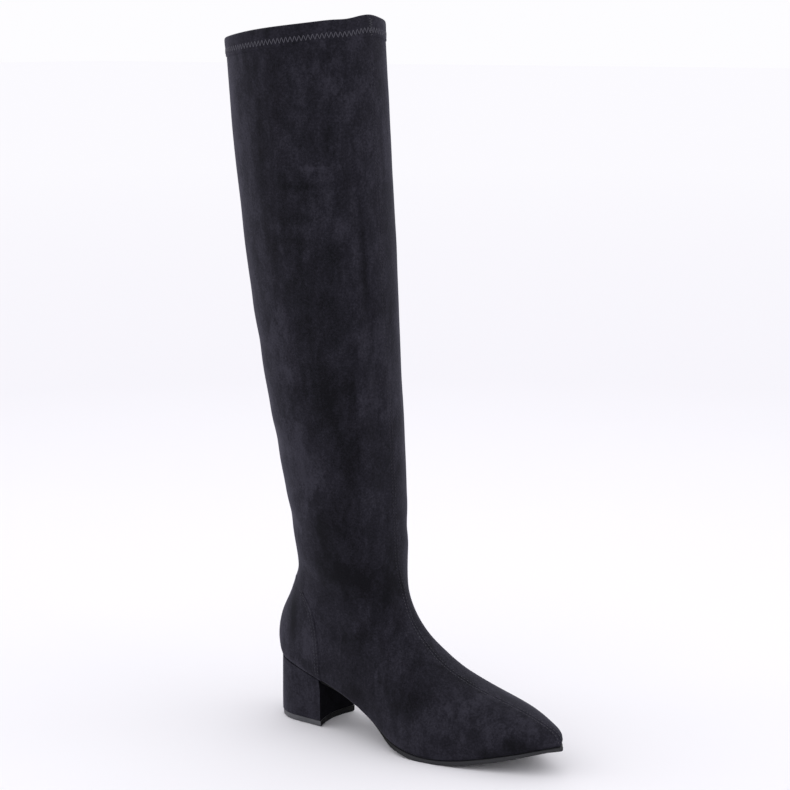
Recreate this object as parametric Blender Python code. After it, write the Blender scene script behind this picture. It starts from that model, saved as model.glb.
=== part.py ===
"""Right over-the-knee boot with a pointed toe, a block heel and an inner-side zip.

The toe points along +X, the inner (medial) side faces +Y, and the boot stands on z = 0.
Tables and sizes are in millimetres, measured from the back of the heel seat; MM turns them
into metres when a mesh is made, and ORIGIN_SHIFT centres the boot on its bounding box.
"""
import math

import bmesh
import bpy
import numpy as np
from mathutils import Vector

MM = 0.001

# Driving sizes of the boot.
FOOT_LENGTH = 257.0
COLLAR_BACK_HEIGHT = 547.0
COLLAR_SLOPE = 0.13
ANKLE_HEIGHT = 108.0
WALL = 1.8
GAP = 0.3
SOLE_THICKNESS = 3.0
INSOLE_THICKNESS = 2.5
LIFT_THICKNESS = 5.0
HEM_DEPTH = 13.0
HEM_RAISE = 0.6
COUNTER_THICKNESS = 0.8
COUNTER_GAP = 0.9
ORIGIN_SHIFT = np.array([121.9, -19.1, 0.0])

# The foot, a row for each section across it: distance from the heel, half-widths of the outline
# on the outer and the inner side, sideways place of the ridge, heights of the feather line and of
# the ridge, and the two powers that set how square the section's shoulder is.
FOOT_COLUMNS = ("x", "outer", "inner", "ridge_y", "feather", "ridge", "rise_power", "side_power")
FOOT = [
    (0, 30, 30, 0.0, 54.0, 73, 2.2, 2.2),
    (25, 29, 29, 0.0, 49.8, 89, 2.2, 2.2),
    (50, 28, 28, 0.0, 42.0, 106, 2.2, 2.2),
    (80, 29.5, 22.5, 0.0, 33.5, 115, 2.1, 2.1),
    (105, 33.5, 27.0, 0.5, 21.0, 108, 2.0, 2.1),
    (130, 39.5, 36.5, 1.5, 7.5, 89.5, 2.0, 2.1),
    (155, 42.5, 45, 3.5, 2.6, 67.5, 2.2, 2.1),
    (180, 39.5, 47, 5.5, 3.5, 55, 2.3, 2.1),
    (205, 32, 40, 6.0, 8.5, 47, 2.3, 2.1),
    (230, 21.5, 26.5, 5.5, 15.0, 40, 2.2, 2.1),
    (248, 11.5, 14.5, 5.3, 20.0, 34, 2.1, 2.0),
    (257, 5.5, 7.5, 5.5, 22.0, 29, 2.0, 2.0),
]

# The leg, a row for each level: height, back and front of the shaft, half-width, the power of
# its oval, and the sideways place of its middle, which leans outwards.
LEG_COLUMNS = ("z", "back", "front", "half_width", "power", "middle")
LEG = [
    (40, 6, 98, 27.5, 2.3, 0.0),
    (50, 1.5, 104, 30, 2.3, 0.0),
    (65, -2.5, 109, 31.5, 2.2, 0.0),
    (85, -0.5, 114, 31.5, 2.1, 0.0),
    (104, 9.3, 113, 32, 2.1, 0.0),
    (119, 20.3, 112, 35, 2.1, -0.5),
    (134, 22.5, 113.5, 38, 2.05, -2.0),
    (176, 19, 115, 42.5, 2.0, -6.0),
    (234, 11.5, 115.5, 46, 2.0, -11.0),
    (310, 1.5, 115.5, 50, 2.0, -17.5),
    (405, -7, 115.5, 52.5, 2.0, -25.5),
    (500, -11.5, 115.5, 53, 2.0, -33.0),
    (577, -15, 113.5, 53, 2.0, -36.5),
]

# The block heel, a row for each level: height, back, breast, half-width. The top row follows
# the feather line instead of a level.
HEEL_COLUMNS = ("z", "back", "breast", "half_width")
HEEL = [
    (LIFT_THICKNESS + GAP, -0.6, 50.5, 23.4),
    (18, -0.4, 51.0, 24.3),
    (32, 0.2, 52.0, 25.6),
    (44, 1.0, 52.0, 27.4),
]
SEAT_GAP = 0.45
HEEL_EDGE_ANGLE = 30.0
BREAST_HOLLOW = 4.5
BREAST_GAP = 0.4

# Back edge of the counter's patch on either side, from the feather line up to its top.
COUNTER_COLUMNS = ("z", "front")
COUNTER = [(46, 55.5), (63, 56), (80, 54), (96, 49), (106, 43), (113, 36), (119, 31)]

# Middle of the zip on the inner side, from above the arch to its top stop.
ZIP_COLUMNS = ("z", "x")
ZIP = [(44, 79), (70, 76), (95, 73), (130, 70), (160, 66.5), (190, 63), (224, 58.5)]
SLIT_HALF_WIDTH = 2.9
COIL_HALF_WIDTH = 2.3
TAPE_HALF_WIDTH = 12.0
TAPE_THICKNESS = 0.8
COIL_PROUD = 0.5
SLIDER_HEIGHT = 216.0
PLATE_LOW = COIL_PROUD + GAP
PLATE_HIGH = PLATE_LOW + 1.6
BRIDGE_WIDTH = 2.4
BRIDGE_TOP = PLATE_HIGH + 3.0
PULL_AXIS_DOWN = 1.9
PULL_AXIS_OUT = PLATE_HIGH + 1.05
PULL_LENGTH = 26.0
PULL_TILT = 4.0

RINGS_FOOT = 19
RINGS_LEG = 22
HALF_RING = 20
LEG_CROWDING = 1.5
# Bounds within which the surface is looked for: sideways, behind the heel and past the toe.
WIDEST = 75.0
FARTHEST_BACK = -120.0
PAST_TOE = 15.0


def clear_scene():
    """Remove what a new file holds."""
    for thing in list(bpy.data.objects):
        bpy.data.objects.remove(thing, do_unlink=True)


def material(name, colour, roughness, metallic=0.0):
    """Return a plain Principled material."""
    made = bpy.data.materials.new(name)
    made.use_nodes = True
    shader = made.node_tree.nodes["Principled BSDF"]
    shader.inputs["Base Color"].default_value = (*colour, 1.0)
    shader.inputs["Roughness"].default_value = roughness
    shader.inputs["Metallic"].default_value = metallic
    return made


def column(table, columns, name, at):
    """Read one column of a table at any place, on a smooth curve through its rows."""
    rows = np.array(table, dtype=float)
    xs, ys = rows[:, 0], rows[:, columns.index(name)]
    x = np.clip(np.asarray(at, dtype=float), xs[0], xs[-1])
    span = np.diff(xs)
    rise = np.diff(ys) / span
    slope = np.concatenate([rise[:1], np.zeros(len(xs) - 2), rise[-1:]])
    slope[1:-1] = (rise[:-1] * span[1:] + rise[1:] * span[:-1]) / (span[1:] + span[:-1])
    i = np.clip(np.searchsorted(xs, x, side="right") - 1, 0, len(xs) - 2)
    t = (x - xs[i]) / span[i]
    return ((2 * t**3 - 3 * t**2 + 1) * ys[i] + (t**3 - 2 * t**2 + t) * span[i] * slope[i]
            + (3 * t**2 - 2 * t**3) * ys[i + 1] + (t**3 - t**2) * span[i] * slope[i + 1])


def foot(name, x):
    """Column of the foot table at x."""
    return column(FOOT, FOOT_COLUMNS, name, x)


def leg(name, z):
    """Column of the leg table at height z."""
    return column(LEG, LEG_COLUMNS, name, z)


def eased(value, low, high):
    """Smooth step from 0 at low to 1 at high."""
    t = np.clip((value - low) / (high - low), 0.0, 1.0)
    return t * t * (3 - 2 * t)


def middle_y(x, z):
    """Sideways place of the boot's middle: the ridge of the foot, then the middle of the leg."""
    share = eased(z, 60.0, 140.0)
    return foot("ridge_y", x) * (1 - share) + leg("middle", z) * share


def outline_half(x, side):
    """Half-width of the foot's outline, rounded at the toe and at the heel."""
    nose_radius, heel_radius, toe = 9.0, 30.0, FOOT_LENGTH
    width = foot("inner" if side > 0 else "outer", x)
    nose = np.clip(x - (toe - nose_radius), 0, None) / nose_radius
    heel = np.clip(heel_radius - x, 0, None) / heel_radius
    round_nose = np.sqrt(np.clip(1 - nose**2, 0, 1))
    round_heel = np.sqrt(np.clip(1 - heel**2, 0, 1))
    return width * round_nose * round_heel


def outside(x, out, z, side):
    """How far a point is outside the boot, out being its distance from the middle; < 0 inside.

    The foot and the leg are two closed forms, joined by a fillet at the instep.
    """
    tuck, tuck_share, fillet = 0.06, 0.35, 16.0
    low, top = foot("feather", x), foot("ridge", x)
    rise = np.clip((z - low) / (top - low), 0, None)
    tucked = tuck * (1 - np.clip(rise / tuck_share, 0, 1)) ** 2
    width = np.maximum(outline_half(x, side) * (1 - tucked), 1e-3)
    rise_power, side_power = foot("rise_power", x), foot("side_power", x)
    ring = ((out / width) ** side_power + rise**rise_power) ** (1 / np.maximum(rise_power, side_power))
    past_ends = np.clip(x - FOOT_LENGTH, 0, None) + np.clip(-x, 0, None)
    from_foot = (ring - 1) * np.clip(width, 6, top - low) + 6 * past_ends

    back, front = leg("back", z), leg("front", z)
    reach = (front - back) / 2
    half, power = leg("half_width", z), leg("power", z)
    ring = (np.abs((x - (front + back) / 2) / reach) ** power + (out / half) ** power) ** (1 / power)
    from_leg = (ring - 1) * np.minimum(reach, half)

    blend = fillet * np.clip((x - 50) / 40, 0.02, 1)
    share = np.clip(0.5 + 0.5 * (from_leg - from_foot) / blend, 0, 1)
    return from_leg * (1 - share) + from_foot * share - blend * share * (1 - share)


def halve(test, inner, outer, steps=30):
    """Close in on the place between inner and outer where test turns from < 0 to > 0."""
    for _ in range(steps):
        half = (inner + outer) / 2
        keep = test(half) < 0
        inner, outer = np.where(keep, half, inner), np.where(keep, outer, half)
    return (inner + outer) / 2


def reach_out(x, z, side):
    """Distance from the boot's middle to its outer surface at x, z."""
    x, z = np.broadcast_arrays(np.asarray(x, float), np.asarray(z, float))
    return halve(lambda out: outside(x, out, z, side), np.zeros(x.shape), np.full(x.shape, WIDEST))


def level_line(share, x):
    """Height of the ring number share (0 feather, 0.5 ankle, 1 collar) at x.

    The lowest ring follows the feather line over the arch; the rings straighten up to the ankle
    and then tilt to the slope of the collar.
    """
    x = np.asarray(x, float)
    heel, toe = float(foot("feather", 0)), float(foot("feather", FOOT_LENGTH))
    on_foot = np.clip(x, 0, FOOT_LENGTH)
    arch = foot("feather", on_foot) - (heel + (toe - heel) * on_foot / FOOT_LENGTH)
    low = np.clip(share / 0.5, 0, 1)
    high = np.clip((share - 0.5) / 0.5, 0, 1)
    back = heel + (ANKLE_HEIGHT - heel) * low + (COLLAR_BACK_HEIGHT - ANKLE_HEIGHT) * high
    slope = (toe - heel) / FOOT_LENGTH * (1 - low) + COLLAR_SLOPE * high**2
    arch_fade = 1.6
    return back + slope * x + (1 - low) ** arch_fade * arch


def ring_ends(share):
    """Where the ring number share meets the boot's back and its front, on the middle line."""
    z = float(level_line(share, 0))
    under_shin = 60.0
    start = under_shin if z < ANKLE_HEIGHT else float(leg("back", z) + leg("front", z)) / 2

    def test(x):
        return outside(x, np.zeros_like(x), level_line(share, x), 1)

    back = float(halve(test, np.array(start), np.array(FARTHEST_BACK)))
    steps = np.linspace(start, FOOT_LENGTH + PAST_TOE, 120)
    first = int(np.argmax(test(steps) > 0))
    front = float(halve(test, steps[first - 1], steps[first]))
    return back, front


def outer_ring(share):
    """One closed ring of the upper's outer surface: back, outer side, front, inner side."""
    back, front = ring_ends(share)
    turn = np.linspace(0, math.pi, HALF_RING + 1)
    x = back + (front - back) * (1 - np.cos(turn)) / 2
    z = level_line(share, x)
    sides = []
    for side in (-1, 1):
        out = reach_out(x, z, side)
        out[0] = out[-1] = 0.0
        sides.append(np.stack([x, middle_y(x, z) + side * out, z], axis=1))
    return np.concatenate([sides[0], sides[1][-2:0:-1]])


def ring_shares():
    """Numbers of the rings, with one just under the hem for its step."""
    foot_part = np.linspace(0, 0.5, RINGS_FOOT + 1)
    hem = 0.5 + 0.5 * (1 - HEM_DEPTH / (COLLAR_BACK_HEIGHT - ANKLE_HEIGHT))
    leg_part = 0.5 + (hem - 0.5) * np.linspace(0, 1, RINGS_LEG + 1)[1:] ** LEG_CROWDING
    step = 0.001
    return np.concatenate([foot_part, leg_part, [hem + step, (hem + 1) / 2, 1.0]])


def normals(rings):
    """Outward directions on a grid of closed rings."""
    around = np.roll(rings, -1, axis=1) - np.roll(rings, 1, axis=1)
    up = np.gradient(rings, axis=0)
    cross = np.cross(around, up)
    return cross / np.linalg.norm(cross, axis=2, keepdims=True)


def to_world(points):
    """Millimetres from the heel to metres from the boot's origin."""
    return (np.asarray(points, float) - ORIGIN_SHIFT) * MM


def solid(name, points, faces, look, sharp_angle=35.0):
    """Make an object from points in millimetres and faces, smooth with sharp edges kept."""
    mesh = bpy.data.meshes.new(name)
    mesh.from_pydata([tuple(p) for p in to_world(points)], [], faces)
    mesh.validate()
    mesh.shade_smooth()
    mesh.set_sharp_from_angle(angle=math.radians(sharp_angle))
    mesh.materials.append(look)
    made = bpy.data.objects.new(name, mesh)
    bpy.context.scene.collection.objects.link(made)
    return made


def bands(rows, count, first=0):
    """Quads between successive closed rows of count points each."""
    faces = []
    for row in range(rows - 1):
        for i in range(count):
            a = first + row * count + i
            b = first + row * count + (i + 1) % count
            faces.append((a, b, b + count, a + count))
    return faces


def closed_strip(name, stations, look, sharp_angle=35.0):
    """A solid through stations, each a closed loop of the same number of points, capped."""
    count = len(stations[0])
    faces = bands(len(stations), count)
    last = (len(stations) - 1) * count
    faces.append(tuple(reversed(range(count))))
    faces.append(tuple(range(last, last + count)))
    made = solid(name, np.concatenate(stations), faces, look, sharp_angle)
    recalculate(made)
    return made


def recalculate(made):
    """Turn all faces outwards."""
    work = bmesh.new()
    work.from_mesh(made.data)
    bmesh.ops.recalc_face_normals(work, faces=work.faces)
    work.to_mesh(made.data)
    work.free()


class UpperForm:
    """Grid of the upper's wall: rings from the feather line to the collar, outer and inner."""

    def __init__(self):
        """Work out the rings, the directions out of them and the inner face of the wall."""
        shares = ring_shares()
        self.outer = np.array([outer_ring(share) for share in shares])
        self.direction = normals(self.outer)
        self.inner = self.outer - self.direction * WALL
        self.inner[0, :, 2] = self.outer[0, :, 2]
        self.inner[-1, :, 2] = self.outer[-1, :, 2]

    def side(self, ring, side):
        """One side of a ring, from the back to the front."""
        if side < 0:
            return ring[:HALF_RING + 1]
        return np.concatenate([ring[:1], ring[:HALF_RING - 1:-1]])

    def along(self, ring, side, x):
        """Points where a side of a ring crosses the given x."""
        line = self.side(ring, side)
        return np.stack([x, np.interp(x, line[:, 0], line[:, 1]), np.interp(x, line[:, 0], line[:, 2])], 1)


def make_upper(form, look):
    """The hollow upper: a wall of even thickness, its hem a step."""
    outer = form.outer.copy()
    outer[-3:] += form.direction[-3:] * HEM_RAISE
    rows, count = outer.shape[:2]
    faces = bands(rows, count)
    inner_first = rows * count
    faces += [tuple(reversed(f)) for f in bands(rows, count, inner_first)]
    for i in range(count):
        j = (i + 1) % count
        faces.append((j, i, inner_first + i, inner_first + j))
        top = (rows - 1) * count
        faces.append((top + i, top + j, inner_first + top + j, inner_first + top + i))
    points = np.concatenate([outer.reshape(-1, 3), form.inner.reshape(-1, 3)])
    made = solid("upper", points, faces, look)
    recalculate(made)
    return made


class ZipLine:
    """Places along the zip, on the inner side of the upper's outer surface."""

    def __init__(self, form):
        """Take the inner side of each ring of the upper."""
        self.rings = [form.side(ring, 1) for ring in form.outer]

    def surface(self, x, z):
        """Point of the outer surface at x, z."""
        heights = np.array([np.interp(x, line[:, 0], line[:, 2]) for line in self.rings])
        reaches = np.array([np.interp(x, line[:, 0], line[:, 1]) for line in self.rings])
        return np.array([x, float(np.interp(z, heights, reaches)), z])

    def normal(self, x, z, step=3.0):
        """Outward direction at x, z."""
        along = self.surface(x + step, z) - self.surface(x - step, z)
        up = self.surface(x, z + step) - self.surface(x, z - step)
        way = np.cross(up, along)
        return way / np.linalg.norm(way)

    def middle(self, z):
        """Distance from the heel of the zip's middle line at height z."""
        return float(column(ZIP, ZIP_COLUMNS, "x", z))

    def point(self, z, aside, depth):
        """Point beside the middle line, sunk by depth under the outer surface."""
        x = self.middle(z) + aside
        return self.surface(x, z) - self.normal(x, z) * depth

    def axes(self, z):
        """Place and directions across the zip, down it and outwards, as rows of a matrix."""
        x = self.middle(z)
        here, out = self.surface(x, z), self.normal(x, z, 6.0)
        down = self.surface(self.middle(z - 8), z - 8) - self.surface(self.middle(z + 8), z + 8)
        down -= out * down.dot(out)
        down /= np.linalg.norm(down)
        return here, np.array([np.cross(down, out), down, out])


def zip_strip(line, name, half_width, depths, ends, look, pieces=1, count=20):
    """A strip along the zip between two depths and two heights; pieces across let it bend."""
    top_depth, bottom_depth = depths
    offsets = np.linspace(-half_width, half_width, pieces + 1)
    stations = []
    for z in np.linspace(*ends, count):
        top = [line.point(z, aside, top_depth) for aside in offsets]
        bottom = [line.point(z, aside, bottom_depth) for aside in offsets[::-1]]
        stations.append(np.array(top + bottom))
    return closed_strip(name, stations, look)


def prism(name, outline, low, high, place, axes, look, hole=None):
    """A plate between two heights over an outline given across and down the zip.

    A hole is a second outline with as many points as the first.
    """
    def lifted(points, height):
        flat = np.array([(a, d, height) for a, d in points])
        return place + flat @ axes

    if hole is None:
        return closed_strip(name, [lifted(outline, low), lifted(outline, high)], look)
    rows = [lifted(outline, low), lifted(outline, high), lifted(hole, high), lifted(hole, low)]
    count = len(outline)
    faces = bands(4, count)
    for i in range(count):
        j = (i + 1) % count
        faces.append((3 * count + i, 3 * count + j, j, i))
    made = solid(name, np.concatenate(rows), faces, look)
    recalculate(made)
    return made


def rounded_box(length_across, length_down, corner, centre_down=0.0, steps=4):
    """Outline of a rectangle with round corners."""
    points = []
    for turn in range(4):
        sign_a = 1 if turn in (0, 3) else -1
        sign_d = 1 if turn in (0, 1) else -1
        for step in range(steps):
            angle = math.pi / 2 * (turn + step / (steps - 1))
            points.append((sign_a * (length_across / 2 - corner) + corner * math.cos(angle),
                           centre_down + sign_d * (length_down / 2 - corner) + corner * math.sin(angle)))
    return points


def make_slider(line, look):
    """Slider: a plate over the coil with a bridge that holds the pull."""
    place, axes = line.axes(SLIDER_HEIGHT)
    plate_width, plate_length, plate_corner = 8.6, 11.0, 1.6
    bridge_length, bridge_corner, bridge_middle = 9.0, 0.6, -0.3
    window_start, window_end, roof, sunk, past_side = -3.3, 2.8, 1.0, 0.4, 0.4
    outline = rounded_box(plate_width, plate_length, plate_corner)
    plate = prism("zip_slider", outline, PLATE_LOW, PLATE_HIGH, place, axes, look)
    outline = rounded_box(BRIDGE_WIDTH, bridge_length, bridge_corner, bridge_middle)
    bridge = prism("bridge_form", outline, PLATE_LOW + sunk, BRIDGE_TOP, place, axes, look)
    through = BRIDGE_WIDTH / 2 + past_side
    outline = [(-through, window_start), (through, window_start), (through, window_end),
               (-through, window_end)]
    window = prism("bridge_window", outline, PLATE_HIGH + 0.1, BRIDGE_TOP - roof, place, axes, look)
    join(plate, bridge, "UNION")
    join(plate, window, "DIFFERENCE")


def join(target, tool, operation):
    """Add or cut a form and keep it only as a guide."""
    tool.hide_render = True
    tool.display_type = "WIRE"
    step = target.modifiers.new(tool.name, "BOOLEAN")
    step.object = tool
    step.operation = operation
    step.solver = "EXACT"


def make_pull(line, look):
    """Pull: a yoke whose crossbar lies under the bridge, and a tab, hanging on its hinge axis."""
    place, axes = line.axes(SLIDER_HEIGHT)
    pivot = place + axes[1] * PULL_AXIS_DOWN + axes[2] * PULL_AXIS_OUT
    tilt = math.radians(PULL_TILT)
    down = axes[1] * math.cos(tilt) - axes[2] * math.sin(tilt)
    out = axes[2] * math.cos(tilt) + axes[1] * math.sin(tilt)
    half_bar, arm, yoke, waist, tab, corner = 0.55, 1.1, 3.1, 2.4, 3.0, 0.8
    yoke_end, waist_end, tab_start, hole_end = 3.0, 8.6, 9.6, 8.2
    right = [(yoke, -half_bar), (yoke, yoke_end), (waist, waist_end), (tab, tab_start),
             (tab, PULL_LENGTH - corner), (tab - corner, PULL_LENGTH)]
    inner = yoke - arm
    right_hole = [(inner, half_bar), (inner, yoke_end), (1.5, hole_end - 1.0), (1.1, hole_end - 0.4),
                  (0.6, hole_end - 0.1), (0.2, hole_end)]
    outline = right + [(-across, along) for across, along in reversed(right)]
    hole = right_hole + [(-across, along) for across, along in reversed(right_hole)]
    frame = np.array([axes[0], down, out])
    pull = prism("zip_pull", outline, -half_bar, half_bar, pivot, frame, look, hole)
    origin = to_world(pivot)
    for vertex in pull.data.vertices:
        vertex.co -= Vector(origin)
    pull.location = origin


def make_zip(form, upper, tape_look, coil_look, metal_look):
    """Zip on the inner side: slit, tape behind it, coil in it, slider and pull."""
    line = ZipLine(form)
    low, high = ZIP[0][0], ZIP[-1][0]
    past_wall, coil_margin, tape_below, tape_above = 3.0, 1.5, 2.0, 8.0
    slit_depths = (-past_wall, WALL + past_wall)
    slit = zip_strip(line, "slit_form", SLIT_HALF_WIDTH, slit_depths, (low, high), coil_look)
    join(upper, slit, "DIFFERENCE")
    tape_top = WALL + 2 * GAP
    tape_depths = (tape_top, tape_top + TAPE_THICKNESS)
    zip_strip(line, "zip_tape", TAPE_HALF_WIDTH, tape_depths, (low - tape_below, high + tape_above),
              tape_look, pieces=4, count=18)
    zip_strip(line, "zip_coil", COIL_HALF_WIDTH, (-COIL_PROUD, WALL),
              (low + coil_margin, high - coil_margin), coil_look)
    make_slider(line, metal_look)
    make_pull(line, metal_look)


def layer(name, outer_side, inner_side, thickness, floor, look):
    """A layer under two side lines, as thick as given but no lower than floor."""
    stations = []
    for one, other in zip(outer_side, inner_side):
        low_one = max(one[2] - thickness, floor)
        low_other = max(other[2] - thickness, floor)
        stations.append(np.array([
            (one[0], one[1], low_one), tuple(one),
            tuple(other), (other[0], other[1], low_other),
        ]))
    closed_strip(name, stations, look)


def make_outsole(form, look):
    """Thin sole from the heel's breast to the toe, flat on the floor under the ball."""
    ring = form.outer[0] - np.array([0, 0, GAP])
    columns = form.side(ring, -1)[:-1, 0]
    breast = HEEL[-1][2] + BREAST_GAP
    nearest_column, blunt_tip = 2.0, 0.4
    inside = columns[columns > breast + nearest_column]
    x = np.concatenate([[breast], inside, [ring[:, 0].max() - blunt_tip]])
    layer("outsole", form.along(ring, -1, x), form.along(ring, 1, x), SOLE_THICKNESS, 0.0, look)


def make_insole(form, look):
    """Insole that closes the upper's bottom from the heel to the toe."""
    clear = form.direction[0] * np.array([1, 1, 0]) * GAP * 1.5
    ring = form.inner[0] - clear + np.array([0, 0, INSOLE_THICKNESS + GAP / 3])
    outer_side = form.side(ring, -1)[1:-1]
    inner_side = form.side(ring, 1)[1:-1]
    layer("insole", outer_side, inner_side, INSOLE_THICKNESS, 0.0, look)


def heel_loop(z, back, breast, half_width, tops=None):
    """Outline of the heel at one level: a D with a hollow breast."""
    arc = np.linspace(-math.pi / 2, math.pi / 2, 17)
    reach = min(half_width, (breast - back) * 0.55)
    points = [(breast, -half_width)]
    points += [(back + reach * (1 - math.cos(a)), half_width * math.sin(a)) for a in arc]
    points += [(breast, half_width)]
    for share in (0.75, 0.5, 0.25):
        y = half_width * (2 * share - 1)
        points.append((breast - BREAST_HOLLOW * (1 - (y / half_width) ** 2), y))
    return np.array([(x, y, z if tops is None else tops(x)) for x, y in points])


def make_heel(look, lift_look):
    """Covered block heel and the lift under it."""

    def seat(x):
        return float(foot("feather", x)) - SEAT_GAP

    rows = [dict(zip(HEEL_COLUMNS, row)) for row in HEEL]
    stations = [heel_loop(**row) for row in rows[:-1]]
    stations.append(heel_loop(**rows[-1], tops=seat))
    closed_strip("heel_block", stations, look, HEEL_EDGE_ANGLE)
    _, back, breast, half_width = HEEL[0]
    inset, bevel = 0.8, 0.9
    loops = [heel_loop(0.0, back + inset + bevel, breast - bevel, half_width - inset - bevel)]
    loops.append(heel_loop(bevel, back + inset, breast, half_width - inset))
    loops.append(heel_loop(LIFT_THICKNESS, back + inset / 2, breast, half_width - inset / 2))
    closed_strip("heel_top_piece", loops, lift_look, HEEL_EDGE_ANGLE)


def counter_row(form, ring, side, steps):
    """Points and directions on one side of a ring, from the back to the counter's front edge."""
    line = form.side(form.outer[ring], side)
    ways = form.side(form.direction[ring], side)
    front = float(COUNTER[0][1])
    for _ in range(4):
        height = np.interp(front, line[:, 0], line[:, 2])
        front = float(column(COUNTER, COUNTER_COLUMNS, "front", height))
    x = line[0, 0] + (front - line[0, 0]) * (1 - np.cos(np.linspace(0, math.pi / 2, steps)))
    points = form.along(form.outer[ring], side, x)
    way = np.stack([np.interp(x, line[:, 0], ways[:, axis]) for axis in range(3)], axis=1)
    return points, way / np.linalg.norm(way, axis=1, keepdims=True)


def make_counter(form, look):
    """Patch that wraps the back of the heel, from the feather line to the Achilles notch."""
    steps = 19
    rows = list(range(0, RINGS_FOOT - 4, 2)) + list(range(RINGS_FOOT - 4, RINGS_FOOT + 3))
    grid, ways = [], []
    for ring in rows:
        outer_points, outer_ways = counter_row(form, ring, -1, steps)
        inner_points, inner_ways = counter_row(form, ring, 1, steps)
        grid.append(np.concatenate([outer_points[::-1], inner_points[1:]]))
        ways.append(np.concatenate([outer_ways[::-1], inner_ways[1:]]))
    grid, ways = np.array(grid), np.array(ways)
    near = grid + ways * COUNTER_GAP
    far = grid + ways * (COUNTER_GAP + COUNTER_THICKNESS)
    stations = [np.concatenate([far[:, c], near[::-1, c]]) for c in range(grid.shape[1])]
    closed_strip("heel_counter", stations, look)


def main():
    """Build the boot."""
    clear_scene()
    suede = material("suede", (0.019, 0.019, 0.025), 0.95)
    rubber = material("sole_rubber", (0.06, 0.06, 0.065), 0.6)
    sock = material("sock", (0.03, 0.03, 0.032), 0.8)
    form = UpperForm()
    upper = make_upper(form, suede)
    make_outsole(form, rubber)
    make_insole(form, sock)
    make_heel(suede, rubber)
    make_counter(form, suede)
    tape = material("zip_tape", (0.012, 0.012, 0.016), 0.85)
    coil = material("zip_coil", (0.010, 0.010, 0.012), 0.45)
    metal = material("black_nickel", (0.05, 0.05, 0.055), 0.25, 1.0)
    make_zip(form, upper, tape, coil, metal)


if __name__ == "__main__":
    main()
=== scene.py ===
"""Looks of a right over-the-knee suede boot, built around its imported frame.

The toe points along +X, the inner side of the foot faces +Y and the boot stands on z = 0.
Sizes in the tables are millimetres from the back of the heel seat; MM turns them into metres.
"""

import logging
import math
from contextlib import contextmanager
from dataclasses import dataclass, field
from enum import Enum
from typing import Callable, Iterator, Sequence

import bpy
import numpy as np
from mathutils import Matrix, Vector, noise
from mathutils.bvhtree import BVHTree

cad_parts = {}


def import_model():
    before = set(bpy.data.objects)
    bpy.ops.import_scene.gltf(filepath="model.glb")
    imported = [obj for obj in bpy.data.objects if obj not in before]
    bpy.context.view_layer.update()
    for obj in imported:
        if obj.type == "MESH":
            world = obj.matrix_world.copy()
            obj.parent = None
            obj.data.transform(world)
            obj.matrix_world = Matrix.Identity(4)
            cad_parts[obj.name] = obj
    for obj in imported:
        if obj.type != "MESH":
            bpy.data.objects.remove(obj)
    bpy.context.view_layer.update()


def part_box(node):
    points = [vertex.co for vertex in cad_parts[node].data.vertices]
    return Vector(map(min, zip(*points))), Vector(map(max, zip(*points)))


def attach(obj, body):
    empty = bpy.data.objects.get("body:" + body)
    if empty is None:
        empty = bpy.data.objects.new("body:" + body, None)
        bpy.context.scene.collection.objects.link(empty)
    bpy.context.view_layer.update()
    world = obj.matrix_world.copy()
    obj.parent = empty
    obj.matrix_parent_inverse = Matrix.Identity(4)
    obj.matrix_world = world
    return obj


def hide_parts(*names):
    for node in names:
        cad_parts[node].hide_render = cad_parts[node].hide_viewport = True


MM = 0.001
LOG = logging.getLogger("boot")

# Where the rays that read the boot start: this far to the side, in millimetres.
FAR_ASIDE = 300.0
# Number of the lowest ring, at the feather line.
FEATHER_SHARE = 0.004

Pair = tuple[float, float]
Triple = tuple[float, float, float]
Line = tuple[Pair, ...]
Colour = tuple[float, float, float]
Piece = bpy.types.Object
Look = bpy.types.Material
Socket = bpy.types.NodeSocket


class Side(Enum):
    """The two sides of this right boot, by the sign of Y."""

    OUTER = -1
    INNER = 1


class Body(Enum):
    """The frame's bodies."""

    BOOT = "boot"
    PULL = "pull"


class Slot(Enum):
    """The record's material slots."""

    SUEDE = "suede"
    RUBBER = "sole_rubber"
    SOCK = "sock"
    TAPE = "zip_tape"
    COIL = "zip_coil"
    METAL = "black_nickel"


# ---------- Mesh helpers ----------


def deselect() -> None:
    """Leave nothing selected, so that an operator acts only on what is chosen next."""
    bpy.ops.object.select_all(action="DESELECT")


def choose(piece: Piece) -> None:
    """Make a piece the only selected and the active object.

    Args:
        piece: The object to work on.
    """
    deselect()
    piece.select_set(True)
    bpy.context.view_layer.objects.active = piece


@contextmanager
def editing(piece: Piece) -> Iterator[None]:
    """Work on a piece in edit mode, with all of it selected.

    Args:
        piece: The object to work on.

    Returns:
        Nothing to the block that runs in edit mode.
    """
    choose(piece)
    bpy.ops.object.mode_set(mode="EDIT")
    bpy.ops.mesh.select_all(action="SELECT")
    yield
    bpy.ops.object.mode_set(mode="OBJECT")


@contextmanager
def editing_some(piece: Piece, kind: str, chosen: Sequence[bool]) -> Iterator[None]:
    """Work on a piece in edit mode, with only some of its faces or edges selected.

    Args:
        piece: The object to work on.
        kind: FACE or EDGE.
        chosen: Whether each face or each edge is selected.

    Returns:
        Nothing to the block that runs in edit mode.
    """
    choose(piece)
    bpy.ops.object.mode_set(mode="EDIT")
    bpy.ops.mesh.select_mode(type=kind)
    bpy.ops.mesh.select_all(action="DESELECT")
    bpy.ops.object.mode_set(mode="OBJECT")
    parts = piece.data.polygons if kind == "FACE" else piece.data.edges
    parts.foreach_set("select", chosen)
    bpy.ops.object.mode_set(mode="EDIT")
    yield
    bpy.ops.object.mode_set(mode="OBJECT")


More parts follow.
